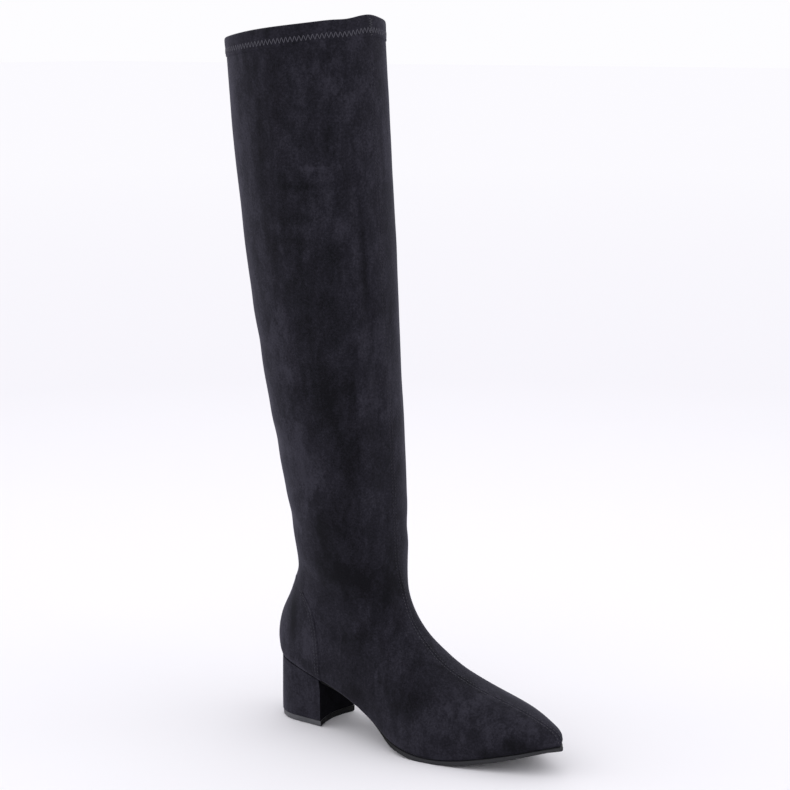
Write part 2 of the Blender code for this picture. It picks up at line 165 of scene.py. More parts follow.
def coordinates(piece: Piece) -> np.ndarray:
    """Read a mesh's points.

    Args:
        piece: A mesh object.

    Returns:
        One row of x, y, z for each vertex, in metres.
    """
    flat = np.empty(len(piece.data.vertices) * 3)
    piece.data.vertices.foreach_get("co", flat)
    return flat.reshape(-1, 3)


def set_coordinates(piece: Piece, points: np.ndarray) -> None:
    """Write a mesh's points.

    Args:
        piece: A mesh object.
        points: One row of x, y, z for each vertex, in metres.
    """
    piece.data.vertices.foreach_set("co", np.asarray(points, float).ravel())
    piece.data.update()


def apply_all(piece: Piece) -> None:
    """Apply all modifiers of a piece in order.

    Args:
        piece: The object whose modifiers are applied.
    """
    choose(piece)
    for modifier in list(piece.modifiers):
        bpy.ops.object.modifier_apply(modifier=modifier.name)


def smooth(piece: Piece, angle: float = 40.0) -> None:
    """Shade a piece smooth, with edges sharper than an angle kept.

    Args:
        piece: The object to shade.
        angle: Sharpest angle between faces that is still smoothed, in degrees.
    """
    choose(piece)
    bpy.ops.object.shade_smooth_by_angle(angle=math.radians(angle))


def grid_piece(name: str, place: np.ndarray, closed: bool = False) -> Piece:
    """Shape a grid primitive into a sheet, or into a tube whose two long edges are merged.

    Args:
        name: The piece's name.
        place: Points in metres, as rows by columns by 3.
        closed: Whether the last column meets the first.

    Returns:
        The new object, at the origin.
    """
    if closed:
        place = np.concatenate([place, place[:, :1]], axis=1)
    rows, columns = place.shape[:2]
    deselect()
    bpy.ops.mesh.primitive_grid_add(x_subdivisions=columns - 1, y_subdivisions=rows - 1, size=2)
    piece = bpy.context.object
    piece.name = piece.data.name = name
    flat = coordinates(piece)
    column = np.rint((flat[:, 0] + 1) / 2 * (columns - 1)).astype(int)
    row = np.rint((flat[:, 1] + 1) / 2 * (rows - 1)).astype(int)
    set_coordinates(piece, place[row, column])
    if closed:
        with editing(piece):
            bpy.ops.mesh.remove_doubles(threshold=1e-7)
    return piece


def turn_outwards(piece: Piece) -> None:
    """Recalculate the normals of a closed piece.

    Args:
        piece: A closed mesh object.
    """
    with editing(piece):
        bpy.ops.mesh.normals_make_consistent(inside=False)


def cubic(values: np.ndarray, at: np.ndarray, closed: bool = False) -> np.ndarray:
    """Read rows of values at fractional numbers, on a smooth curve through them.

    Args:
        values: Values by row.
        at: Row numbers, which may be fractions.
        closed: Whether the rows form a ring.

    Returns:
        The values at those numbers.
    """
    count = len(values)
    at = np.asarray(at, float)
    low = np.floor(at).astype(int)
    if not closed:
        low = np.clip(low, 0, count - 2)
    t = (at - low).reshape((-1,) + (1,) * (values.ndim - 1))

    def row(number: np.ndarray) -> np.ndarray:
        """Return the rows of these numbers, carried on straight past the two ends.

        Args:
            number: Whole row numbers.

        Returns:
            The values there.
        """
        if closed:
            return values[number % count]
        before, after = 2 * values[0] - values[1], 2 * values[-1] - values[-2]
        inner = values[np.clip(number, 0, count - 1)]
        pad = (-1,) + (1,) * (values.ndim - 1)
        inner = np.where((number < 0).reshape(pad), before, inner)
        return np.where((number >= count).reshape(pad), after, inner)

    a, b, c, d = row(low - 1), row(low), row(low + 1), row(low + 2)
    return b + t / 2 * (c - a + t * (2 * a - 5 * b + 4 * c - d + t * (3 * (b - c) + d - a)))


def eased(value: np.ndarray, low: float, high: float) -> np.ndarray:
    """Smooth step from 0 at low to 1 at high."""
    t = np.clip((np.asarray(value, float) - low) / (high - low), 0.0, 1.0)
    return t * t * (3 - 2 * t)


def unit(ways: np.ndarray) -> np.ndarray:
    """Return directions at length one, the last axis holding x, y and z."""
    return ways / np.linalg.norm(ways, axis=-1, keepdims=True)


def run_along(line: np.ndarray) -> np.ndarray:
    """Return the length of a line up to each of its points."""
    return np.concatenate([[0], np.cumsum(np.linalg.norm(np.diff(line, axis=0), axis=1))])


def read_along(rows: np.ndarray, run: np.ndarray, at: np.ndarray | float) -> np.ndarray:
    """Return a line's points, or its directions, at lengths along it."""
    return np.stack([np.interp(at, run, rows[:, k]) for k in range(3)], axis=-1)


def bell(value: np.ndarray, middle: float, spread: float) -> np.ndarray:
    """Smooth hump of height 1 round a middle."""
    return np.exp(-((value - middle) / spread) ** 2)


class Surface:
    """Reads places on an object's faces."""

    def __init__(self, points: np.ndarray, faces: Sequence[Sequence[int]]) -> None:
        """Build the search tree.

        Args:
            points: Corners in metres.
            faces: Corner numbers of each face.
        """
        self.tree = BVHTree.FromPolygons([Vector(p) for p in points], faces)

    @classmethod
    def of(cls, piece: Piece) -> "Surface":
        """Return the surface of a mesh object at the origin."""
        return cls(coordinates(piece), [tuple(p.vertices) for p in piece.data.polygons])

    def hit(self, start: Sequence[float], way: Sequence[float]) -> Vector | None:
        """Return where a ray first meets the surface, or None.

        Args:
            start: Start of the ray, in metres.
            way: Its direction.
        """
        return self.tree.ray_cast(Vector(start), Vector(way))[0]

    def nearest(self, point: Sequence[float]) -> tuple[np.ndarray, np.ndarray]:
        """Return the nearest place on the surface and the outward direction there.

        Args:
            point: A point in metres.
        """
        place, normal, _, _ = self.tree.find_nearest(Vector(point))
        return np.array(place), np.array(normal)


# ---------- The boot's form, read from the frame ----------


@dataclass
class BootForm:
    """Rings of the boot's outer form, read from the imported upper.

    A ring is a closed line round the boot: share 0 is the feather line, 0.5 the ankle and 1 the
    collar. Around a ring the turn runs from 0 at the back over the outer side to half a circle
    at the front, and back over the inner side.
    """

    ankle_height: float = 108.0
    collar_slope: float = 0.13
    hem_depth: float = 13.0
    hem_raise: float = 0.6
    toe_reach: float = 257.0
    heel_overhang: float = 0.6
    foot_rings: int = 19
    leg_rings: int = 22
    half_ring: int = 20
    crowding: float = 1.5
    foot_middle: Line = ((0.0, 0.0), (110.0, 0.0), (200.0, 6.0), (257.0, 5.5))
    heel_seat: np.ndarray = field(init=False)
    upper: Surface = field(init=False)
    collar_back: float = field(init=False)
    feather_x: np.ndarray = field(init=False)
    feather_z: np.ndarray = field(init=False)
    rings: np.ndarray = field(init=False)
    shares: np.ndarray = field(init=False)

    def __post_init__(self) -> None:
        """Read the rings from the frame."""
        low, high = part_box("heel_block")
        self.heel_seat = np.array([low.x + self.heel_overhang * MM, (low.y + high.y) / 2, 0.0])
        self.upper = Surface.of(bpy.data.objects["upper"])
        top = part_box("upper")[1].z / MM
        front = self.end_at(lambda x: top - 20.0 + 0.0 * x, 60.0, 1)
        self.collar_back = top - self.collar_slope * front
        self.feather_x = np.linspace(2.0, self.toe_reach - 3.0, 52)
        self.feather_z = np.array([self.bottom(x) for x in self.feather_x])
        hem = 0.5 + 0.5 * (1 - self.hem_depth / (self.collar_back - self.ankle_height))
        foot = np.linspace(FEATHER_SHARE, 0.5, self.foot_rings + 1)
        leg = 0.5 + (hem - 0.5) * np.linspace(0, 1, self.leg_rings + 1)[1:] ** self.crowding
        leg[-1] -= 0.001
        self.shares = np.concatenate([foot, leg, [0.999]])
        self.rings = np.array([self.read_ring(share) for share in self.shares])
        self.rings[-1] -= self.directions()[-1] * self.hem_raise

    def world(self, points: np.ndarray) -> np.ndarray:
        """Turn millimetres from the heel seat into metres in the frame."""
        return np.asarray(points, float) * MM + self.heel_seat

    def local(self, points: np.ndarray) -> np.ndarray:
        """Turn metres in the frame into millimetres from the heel seat."""
        return (np.asarray(points, float) - self.heel_seat) / MM

    def reach(self, x: float, z: float, side: Side) -> float | None:
        """Read how far out the boot's surface lies.

        Args:
            x: Distance from the heel seat, in millimetres.
            z: Height in millimetres.
            side: The side to read.

        Returns:
            Its y in millimetres, or None where the boot isn't.
        """
        start = self.world(np.array([x, side.value * FAR_ASIDE, z]))
        place = self.upper.hit(start, (0.0, -side.value, 0.0))
        return None if place is None else float(self.local(np.array(place))[1])

    def bottom(self, x: float) -> float:
        """Find the upper's lower edge.

        Args:
            x: Distance from the heel seat, in millimetres.

        Returns:
            Its height in millimetres.
        """
        inside, outside = 62.0 if x < 130 else 24.0, -5.0
        for _ in range(24):
            half = (inside + outside) / 2
            if self.reach(x, half, Side.OUTER) is None:
                outside = half
            else:
                inside = half
        return inside

    def above_feather(self, points: np.ndarray) -> np.ndarray:
        """Return how far each point lies above the feather line, in millimetres."""
        return points[:, 2] - np.interp(points[:, 0], self.feather_x, self.feather_z)

    def end_at(self, level: Callable[[float], float], start: float, way: int) -> float:
        """Find where a level line leaves the boot, at the back or at the front.

        Args:
            level: Height of the line at x.
            start: A place inside the boot.
            way: 1 towards the toe, -1 towards the back.

        Returns:
            The last x inside the boot.
        """
        inside, step = start, 6.0
        while self.reach(inside + way * step, level(inside + way * step), Side.OUTER) is not None:
            inside += way * step
        outside = inside + way * step
        for _ in range(18):
            half = (inside + outside) / 2
            if self.reach(half, level(half), Side.OUTER) is None:
                outside = half
            else:
                inside = half
        return inside

    def level(self, share: float, x: np.ndarray) -> np.ndarray:
        """Work out the height of a ring.

        Args:
            share: Number of the ring, from 0 to 1.
            x: Distances from the heel seat, in millimetres.

        Returns:
            The ring's height at each.
        """
        feather = np.interp(x, self.feather_x, self.feather_z)
        heel, toe = self.feather_z[0], self.feather_z[-1]
        on_foot = np.clip(x, 0, self.toe_reach)
        arch = feather - (heel + (toe - heel) * on_foot / self.toe_reach)
        low, high = min(share / 0.5, 1.0), max((share - 0.5) / 0.5, 0.0)
        back = heel + (self.ankle_height - heel) * low + (self.collar_back - self.ankle_height) * high
        slope = (toe - heel) / self.toe_reach * (1 - low) + self.collar_slope * high**2
        return back + slope * x + (1 - low) ** 1.6 * arch

    def read_ring(self, share: float) -> np.ndarray:
        """Read one ring.

        Args:
            share: Number of the ring, from 0 to 1.

        Returns:
            Its points in millimetres, from the back over the outer side.
        """

        def level(x: float) -> float:
            """Return the ring's height at x."""
            return float(self.level(share, x))

        start = 62.0 if share < 0.5 else 66.0
        back, front = self.end_at(level, start, -1), self.end_at(level, start, 1)
        turn = np.linspace(0, math.pi, self.half_ring + 1)
        x = back + (front - back) * (1 - np.cos(turn)) / 2
        sides = []
        for side in Side:
            y = np.array([self.reach(a, level(a), side) or np.nan for a in x[1:-1]])
            if np.isnan(y).any():
                known = ~np.isnan(y)
                y = np.interp(x[1:-1], x[1:-1][known], y[known])
            sides.append(y)
        outer, inner = self.mend(sides[0], x), self.mend(sides[1], x)
        ends = [(s[0] + t[0]) / 2 for s, t in ((outer, inner), (outer[::-1], inner[::-1]))]
        y_ring = np.concatenate([[ends[0]], outer, [ends[1]], inner[::-1]])
        x_ring = np.concatenate([x, x[-2:0:-1]])
        return np.stack([x_ring, y_ring, self.level(share, x_ring)], axis=1)

    @staticmethod
    def mend(reaches: np.ndarray, x: np.ndarray) -> np.ndarray:
        """Fill the places where a ray went in at the zip's slit.

        Args:
            reaches: y at the inner points of a ring's side.
            x: All the points of that side.

        Returns:
            The reaches, smooth across the slit.
        """
        x = x[1:-1]
        guess = reaches.copy()
        for i in range(2, len(reaches) - 2):
            around = [i - 2, i - 1, i + 1, i + 2]
            usual = np.median(reaches[around])
            if abs(reaches[i] - usual) > 12.0:
                keep = [k for k in around if abs(reaches[k] - usual) < 12.0]
                guess[i] = np.interp(x[i], x[keep], reaches[keep])
        return guess

    def directions(self) -> np.ndarray:
        """Return the outward direction at each point of each ring."""
        return grid_normals(self.rings)

    def middle(self, points: np.ndarray) -> np.ndarray:
        """Work out the boot's sideways middle.

        Args:
            points: Places in millimetres.

        Returns:
            y of the middle at each.
        """
        leg = self.rings[self.foot_rings + 1:]
        heights, middles = leg[:, 0, 2], leg[:, [0, self.half_ring], 1].mean(axis=1)
        on_leg = np.interp(points[:, 2], heights, middles)
        on_foot = np.interp(points[:, 0], *np.array(self.foot_middle).T)
        return np.where(points[:, 2] > heights[0], on_leg, on_foot)

    def ring_number(self, share: np.ndarray) -> np.ndarray:
        """Return the fractional row number of a ring among those read."""
        return np.interp(share, self.shares, np.arange(len(self.shares)))

    def ring(self, share: float, turns: np.ndarray) -> np.ndarray:
        """Return a ring's points in millimetres at the given turns.

        Args:
            share: Number of the ring, from 0 to 1.
            turns: Places around it, in radians.
        """
        ring = cubic(self.rings, self.ring_number(np.array([share])))[0]
        return cubic(ring, np.asarray(turns) / math.pi * self.half_ring, closed=True)


def grid_normals(grid: np.ndarray) -> np.ndarray:
    """Work out the outward direction at each point of a tube's grid.

    Args:
        grid: Points as rows by columns by 3, the columns closed to a ring.

    Returns:
        Directions of length one, in the same order.
    """
    around = np.roll(grid, -1, axis=1) - np.roll(grid, 1, axis=1)
    up = np.gradient(grid, axis=0)
    cross = np.cross(around, up)
    return cross / np.maximum(np.linalg.norm(cross, axis=2, keepdims=True), 1e-12)


# ---------- Finishes ----------


class Graph:
    """A shader node tree with short ways to add and join nodes."""

    def __init__(self, tree: bpy.types.NodeTree) -> None:
        """Take a node tree.

        Args:
            tree: The tree of a material or of a node group.
        """
        self.tree = tree

    def node(self, kind: str, settings: dict | None = None, **inputs: object) -> bpy.types.Node:
        """Add a node.

        Args:
            kind: The node's type name.
            settings: Properties to set on it.
            **inputs: What feed takes.

        Returns:
            The new node.
        """
        made = self.tree.nodes.new(kind)
        for name, value in (settings or {}).items():
            setattr(made, name, value)
        self.feed(made, **inputs)
        return made

    def feed(self, node: bpy.types.Node, **inputs: object) -> None:
        """Set or link a node's inputs.

        Args:
            node: A node of this tree.
            **inputs: Values or source sockets by socket name, _ standing for a space, or by i and a number.
        """
        for name, value in inputs.items():
            key = int(name[1:]) if name[0] == "i" and name[1:].isdigit() else name.replace("_", " ")
            socket = node.inputs[key]
            if isinstance(value, Socket):
                self.tree.links.new(value, socket)
            else:
                socket.default_value = value

    def place(self) -> Socket:
        """Add a Texture Coordinate node and return its Object output."""
        return self.node("ShaderNodeTexCoord").outputs["Object"]

    def math(self, operation: str, a: object, b: object = 0.0, clamp: bool = False) -> Socket:
        """Add a Math node and return its output."""
        settings = {"operation": operation, "use_clamp": clamp}
        return self.node("ShaderNodeMath", settings, i0=a, i1=b).outputs[0]

    def scaled(self, value: object, factor: float, base: float) -> Socket:
        """Add a Multiply Add node and return value times factor plus base."""
        settings = {"operation": "MULTIPLY_ADD"}
        return self.node("ShaderNodeMath", settings, i0=value, i1=factor, i2=base).outputs[0]

    def noise(self, vector: object, scale: float, detail: float, distortion: float = 0.0) -> Socket:
        """Add a Noise Texture and return its value."""
        inputs = {"Vector": vector, "Scale": scale, "Detail": detail, "Distortion": distortion}
        return self.node("ShaderNodeTexNoise", None, **inputs).outputs["Fac"]

    def crisp(self, value: object, low: float, high: float) -> Socket:
        """Add a Map Range node that takes low to 0 and high to 1 smoothly, and return its result."""
        settings, inputs = {"interpolation_type": "SMOOTHSTEP"}, {"From_Min": low, "From_Max": high}
        return self.node("ShaderNodeMapRange", settings, Value=value, **inputs).outputs["Result"]

    def stretched(self, vector: object, scale: Sequence[float]) -> Socket:
        """Add a Mapping node that scales a vector and return its output."""
        return self.node("ShaderNodeMapping", None, Vector=vector, Scale=scale).outputs[0]

    def ramp(self, value: object, stops: Sequence[tuple[float, Sequence[float]]]) -> Socket:
        """Add a Color Ramp.

        Args:
            value: Where on the ramp to read.
            stops: Places from 0 to 1 and their colours.

        Returns:
            Its colour.
        """
        made = self.node("ShaderNodeValToRGB", None, Fac=value)
        elements = made.color_ramp.elements
        while len(elements) < len(stops):
            elements.new(0.5)
        for element, (place, colour) in zip(elements, stops):
            element.position = place
            element.color = (*colour, 1.0)
        return made.outputs["Color"]

    def bump(self, height: object, distance: float, strength: float) -> Socket:
        """Add a Bump node, its distance in metres, and return its normal."""
        inputs = {"Height": height, "Distance": distance, "Strength": strength}
        return self.node("ShaderNodeBump", None, **inputs).outputs[0]


def new_group(name: str, inputs: dict[str, float],
              outputs: Sequence[str]) -> tuple[Graph, bpy.types.NodeTree]:
    """Start a shader node group.

    Args:
        name: The group's name.
        inputs: Float inputs and their usual values.
        outputs: Float outputs.

    Returns:
        The graph to fill and the group.
    """
    tree = bpy.data.node_groups.new(name, "ShaderNodeTree")
    for label, value in inputs.items():
        socket = tree.interface.new_socket(label, in_out="INPUT", socket_type="NodeSocketFloat")
        socket.default_value = value
    for label in outputs:
        tree.interface.new_socket(label, in_out="OUTPUT", socket_type="NodeSocketFloat")
    return Graph(tree), tree


def nap_group() -> bpy.types.NodeTree:
    """Build the group for brushed suede: soft patches, streaks along the boot, and fibres.

    Returns:
        A group with outputs Shade, from 0 dark to 1 light, and Height.
    """
    graph, tree = new_group(
        "brushed_nap",
        {"Patches": 1.0, "Streaks": 1.0, "Grain": 1.0, "Brushed": 0.0},
        ("Shade", "Height"),
    )
    source = graph.node("NodeGroupInput").outputs
    place = graph.place()
    broad = graph.crisp(graph.noise(graph.stretched(place, (1.0, 1.0, 0.5)), 24.0, 5.0, 0.35), 0.38, 0.62)
    middle = graph.crisp(graph.noise(graph.stretched(place, (1.0, 1.0, 0.55)), 88.0, 6.0, 0.35), 0.36, 0.64)
    streak = graph.crisp(graph.noise(graph.stretched(place, (150.0, 150.0, 17.0)), 1.0, 4.0, 0.3), 0.3, 0.7)
    fine = graph.crisp(graph.noise(graph.stretched(place, (1.0, 1.0, 0.5)), 260.0, 4.0, 0.3), 0.34, 0.66)
    grain = graph.noise(place, 620.0, 4.0, 0.4)
    fibre = graph.noise(graph.stretched(place, (1.0, 1.0, 0.45)), 2300.0, 2.0, 0.3)

    def part(value: Socket, amount: float, share: object) -> Socket:
        """Return a value centred on 0, times its amount and its share."""
        centred = graph.math("SUBTRACT", value, 0.5)
        return graph.math("MULTIPLY", graph.math("MULTIPLY", centred, amount), share)

    patches = graph.math("ADD", part(broad, 0.24, source["Patches"]), part(middle, 0.27, source["Patches"]))
    lines = graph.math("ADD", part(streak, 0.13, source["Streaks"]), part(grain, 1.1, source["Grain"]))
    small = graph.math("ADD", part(fine, 0.15, source["Grain"]), part(fibre, 0.8, source["Grain"]))
    both = graph.math("ADD", graph.math("ADD", patches, lines), small)
    ragged = graph.math("ADD", part(middle, 0.11, 1.0), part(fine, 0.06, 1.0))
    # The Brushed input brings the nap patches together with the painted shade and painted light, given
    # ragged edges here.
    pressed = graph.math("ADD", graph.math("ABSOLUTE", source["Brushed"]), ragged)
    edged = graph.scaled(graph.crisp(pressed, 0.05, 0.13), 0.9, 0.25)
    brushed = graph.math("ADD", both, graph.math("MULTIPLY", source["Brushed"], edged))
    shade = graph.math("ADD", brushed, 0.5, clamp=True)
    height = graph.math("ADD", graph.math("MULTIPLY", grain, 0.6), graph.math("MULTIPLY", fibre, 0.4))
    graph.node("NodeGroupOutput", None, Shade=shade, Height=height)
    return tree


def weave_group() -> bpy.types.NodeTree:
    """Build the group for woven cloth and tape: two crossing sets of fine waves.

    Returns:
        A group with input Pitch, in metres, and outputs Height and Shade.
    """
    graph, tree = new_group("fine_weave", {"Pitch": 0.0006}, ("Shade", "Height"))
    source = graph.node("NodeGroupInput").outputs
    place = graph.place()
    parts = graph.node("ShaderNodeSeparateXYZ", None, Vector=place).outputs
    turn = graph.math("DIVIDE", math.tau, source["Pitch"])
    across = graph.math("SINE", graph.math("MULTIPLY", graph.math("ADD", parts["X"], parts["Y"]), turn))
    along = graph.math("SINE", graph.math("MULTIPLY", parts["Z"], turn))
    height = graph.scaled(graph.math("MULTIPLY", across, along), 0.5, 0.5)
    loose = graph.noise(place, 900.0, 2.0)
    shade = graph.math("ADD", graph.math("MULTIPLY", height, 0.5), graph.math("MULTIPLY", loose, 0.5))
    graph.node("NodeGroupOutput", None, Shade=shade, Height=height)
    return tree


@dataclass(frozen=True)
class NapAndLightPatch:
    """A patch where the nap is pressed darker or brushed lighter, or a thin line of painted shade or
    painted highlight, with its spread each way.
    """

    x: float
    z: float
    wide: float
    high: float
    amount: float


@dataclass(frozen=True)
class NapAndLight:
    """Dark and light patches of the nap, and thin lines of painted shade in folds and creases and of
    painted highlight on ridges, by distance from the heel seat and height.
    """

    outer: tuple[NapAndLightPatch, ...] = tuple(NapAndLightPatch(*row) for row in (
        (60, 485, 10, 34, -0.22), (99, 478, 9, 22, -0.22), (84, 416, 26, 8, -0.18),
        (97, 396, 11, 24, -0.16), (77, 340, 24, 22, -0.20), (86, 283, 22, 30, -0.20),
        (82, 175, 24, 18, -0.22), (98, 128, 16, 13, -0.34), (76, 137, 16, 10, -0.26),
        (80, 84, 20, 8, -0.22), (143, 40, 15, 9, -0.26), (230, 22, 11.5, 6.5, -0.50),
        (213, 14, 9, 4, -0.40), (176, 20, 10, 6, -0.24), (27, 90, 4.2, 22, -0.75), (88, 40, 12, 8, -0.24),
        # The thin dark lines at x 110 and across at z 440 and 400 are painted shade in folds and creases;
        # the thin light line at x 107 is a painted highlight on a ridge.
        (110.4, 384, 1.2, 34, -0.46), (110.2, 430, 2.2, 22, -0.25), (76, 440, 20, 3.6, -0.24),
        (64, 400, 17, 3.2, -0.20), (107, 280, 2.4, 66, 0.22), (101, 513, 9, 26, 0.20),
        (101, 412, 8, 9, 0.20), (94, 310, 8, 9, 0.18), (114, 264, 7, 15, 0.24), (71, 210, 11, 20, 0.22),
        (118, 57, 9, 15, 0.24), (189, 43, 15, 7, 0.20), (236, 37, 13, 8, 0.24), (44, 78, 8, 26, 0.22),
        (14, 84, 8, 26, 0.16), (90, 128, 36, 34, -0.21), (92, 245, 24, 76, -0.22),
        # The thin light lines at z 453 and 409 are painted highlights on the ridges of creases.
        (140, 52, 34, 14, -0.13), (84, 216, 9, 8, 0.18), (97, 414, 9, 13, 0.16), (91, 453, 14, 2.4, 0.34),
        (70, 409, 17, 2.6, 0.26), (46, 480, 3.4, 44, -0.24),
    ))
    inner: tuple[NapAndLightPatch, ...] = tuple(NapAndLightPatch(*row) for row in (
        (96, 500, 16, 26, 0.18), (70, 470, 22, 24, -0.20), (88, 380, 24, 30, -0.18),
        (102, 300, 12, 60, 0.16), (60, 330, 16, 40, -0.16), (100, 200, 12, 30, 0.16),
        (112, 120, 20, 14, -0.18), (150, 44, 18, 10, -0.16), (200, 38, 16, 8, 0.16),
        (22, 420, 26, 90, 0.20), (38, 92, 8, 20, 0.14),
    ))
    # The front edge of the lighter band at the back of the leg, painted light on the lit back of the leg
    # and partly brushed nap: height and distance.
    band: Line = (
        (158, 44), (185, 62), (212, 73), (235, 66), (290, 62), (345, 56), (370, 49), (445, 39), (530, 32),
    )
    band_light_amount: float = 0.17
    band_from: Pair = (148.0, 172.0)

    def back_painted_light(self, local: np.ndarray, aside: np.ndarray) -> np.ndarray:
        """Work out the painted light along the back of the leg, partly brushed nap.

        Args:
            local: Points in millimetres.
            aside: How far each lies from the middle, towards the outer side.

        Returns:
            How much lighter each is painted.
        """
        heights, edges = np.array(self.band, float).T
        edge = np.interp(local[:, 2], heights, edges)
        on_band = 1 - eased(local[:, 0], edge - 3.5, edge + 3.0)
        on_leg = eased(local[:, 2], *self.band_from)
        return self.band_light_amount * on_band * on_leg * eased(aside, -26.0, -8.0)

    def press(self, piece: Piece, form: BootForm) -> None:
        """Write the patches, with the painted shade and highlights and the painted light of the back band,
        into a piece's nap attribute.

        Args:
            piece: A suede piece.
            form: The boot's form.
        """
        local = form.local(coordinates(piece))
        middle = form.middle(local)
        total = self.back_painted_light(local, middle - local[:, 1])
        for side, patches in ((Side.OUTER, self.outer), (Side.INNER, self.inner)):
            here = eased((local[:, 1] - middle) * side.value, -6.0, 8.0)
            for patch in patches:
                off_x, off_z = (local[:, 0] - patch.x) / patch.wide, (local[:, 2] - patch.z) / patch.high
                total += patch.amount * here * np.exp(-(off_x ** 2 + off_z ** 2))
        attribute = piece.data.attributes.new("nap", "FLOAT", "POINT")
        attribute.data.foreach_set("value", total)


def new_material(name: str) -> tuple[Graph, bpy.types.Node, Look]:
    """Start a material.

    Args:
        name: The material's name.

    Returns:
        Its graph, its Principled BSDF and the material.
    """
    made = bpy.data.materials.new(name)
    made.use_nodes = True
    shader = made.node_tree.nodes["Principled BSDF"]
    return Graph(made.node_tree), shader, made


@dataclass(frozen=True)
class SuedeFinish:
    """Black brushed suede with a bluish cast."""

    name: str = "suede"
    patches: float = 1.0
    streaks: float = 1.0
    dark: Colour = (0.0036, 0.0035, 0.0052)
    usual: Colour = (0.0116, 0.0110, 0.0163)
    light: Colour = (0.0275, 0.0262, 0.0365)
    sheen: float = 0.155
    gloss: float = 0.12

    def build(self, nap: bpy.types.NodeTree) -> Look:
        """Make the material.

        Args:
            nap: The brushed nap group.

        Returns:
            The material.
        """
        graph, shader, made = new_material(self.name)
        # The nap attribute holds brushed nap patches together with painted shade in folds and creases,
        # painted highlights on ridges, and painted light at the back of the leg and on the heel's sides.
        brushed = graph.node("ShaderNodeAttribute", {"attribute_name": "nap"}).outputs["Fac"]
        amounts = {"Patches": self.patches, "Streaks": self.streaks, "Brushed": brushed}
        grain = graph.node("ShaderNodeGroup", {"node_tree": nap}, **amounts)
        stops = ((0.0, self.dark), (0.5, self.usual), (1.0, self.light))
        colour = graph.ramp(grain.outputs["Shade"], stops)
        relief = graph.bump(grain.outputs["Height"], 0.0005, 0.55)
        graph.feed(shader, Base_Color=colour, Roughness=0.92, Specular_IOR_Level=self.gloss,
                   Sheen_Weight=self.sheen, Sheen_Roughness=0.42, Sheen_Tint=(0.50, 0.49, 0.65, 1.0),
                   Normal=relief)
        return made


@dataclass(frozen=True)
class RubberFinish:
    """Matte dark rubber with fine moulding grain."""

    name: str = "lift_rubber"
    colour: Colour = (0.058, 0.059, 0.066)
    worn: Colour = (0.098, 0.099, 0.108)

    def build(self) -> Look:
        """Make the material.

        Returns:
            The material.
        """
        graph, shader, made = new_material(self.name)
        place = graph.place()
        cloud = graph.noise(place, 60.0, 4.0, 0.3)
        speck = graph.noise(place, 1500.0, 2.0)
        mix = graph.math("ADD", graph.math("MULTIPLY", cloud, 0.7), graph.math("MULTIPLY", speck, 0.3))
        colour = graph.ramp(mix, ((0.3, self.colour), (0.7, self.worn)))
        rough = graph.scaled(cloud, 0.2, 0.42)
        graph.feed(shader, Base_Color=colour, Roughness=rough, Specular_IOR_Level=0.45,
                   Normal=graph.bump(speck, 0.00015, 0.5))
        return made


@dataclass(frozen=True)
class SoleFinish:
    """Black rubber, dull and painted near-black at the waist as shade, and lighter towards the forefoot."""

    name: str = "sole_rubber"
    # Near-black at the waist and heel is painted shade; ball is the rubber's own colour.
    waist: Colour = (0.0012, 0.0012, 0.0016)
    ball: Colour = (0.020, 0.020, 0.023)
    waist_shade_fade: Pair = (-0.002, 0.034)

    def build(self) -> Look:
        """Make the material.

        Returns:
            The material.
        """
        graph, shader, made = new_material(self.name)
        place = graph.place()
        along = graph.node("ShaderNodeSeparateXYZ", None, Vector=place).outputs["X"]
        speck = graph.noise(place, 1300.0, 3.0)
        ragged = graph.math("ADD", along, graph.math("MULTIPLY", graph.noise(place, 90.0, 3.0), 0.006))
        forward = graph.crisp(ragged, *self.waist_shade_fade)
        shade = graph.math("MULTIPLY", forward, graph.math("ADD", graph.math("MULTIPLY", speck, 0.5), 0.75))
        rough = graph.scaled(forward, -0.35, 0.92)
        graph.feed(shader, Base_Color=graph.ramp(shade, ((0.0, self.waist), (1.0, self.ball))),
                   Roughness=rough, Specular_IOR_Level=0.3, Normal=graph.bump(speck, 0.00015, 0.5))
        return made


@dataclass(frozen=True)
class ClothFinish:
    """Plain woven or knitted cloth."""

    name: str
    dark: Colour
    light: Colour
    pitch: float
    depth: float
    roughness: float = 0.85

    def build(self, weave: bpy.types.NodeTree) -> Look:
        """Make the material.

        Args:
            weave: The fine weave group.

        Returns:
            The material.
        """
        graph, shader, made = new_material(self.name)
        threads = graph.node("ShaderNodeGroup", {"node_tree": weave}, Pitch=self.pitch)
        colour = graph.ramp(threads.outputs["Shade"], ((0.25, self.dark), (0.75, self.light)))
        graph.feed(shader, Base_Color=colour, Roughness=self.roughness, Specular_IOR_Level=0.2,
                   Normal=graph.bump(threads.outputs["Height"], self.depth, 0.7))
        return made


@dataclass(frozen=True)
class ThreadFinish:
    """Twisted sewing thread."""

    name: str
    dark: Colour
    light: Colour

    def build(self) -> Look:
        """Make the material.

        Returns:
            The material.
        """
        graph, shader, made = new_material(self.name)
        place = graph.place()
        twist = graph.noise(graph.stretched(place, (1.0, 1.0, 2.0)), 3500.0, 1.0)
        colour = graph.ramp(twist, ((0.3, self.dark), (0.7, self.light)))
        graph.feed(shader, Base_Color=colour, Roughness=0.55, Specular_IOR_Level=0.3,
                   Normal=graph.bump(twist, 0.0001, 0.4))
        return made


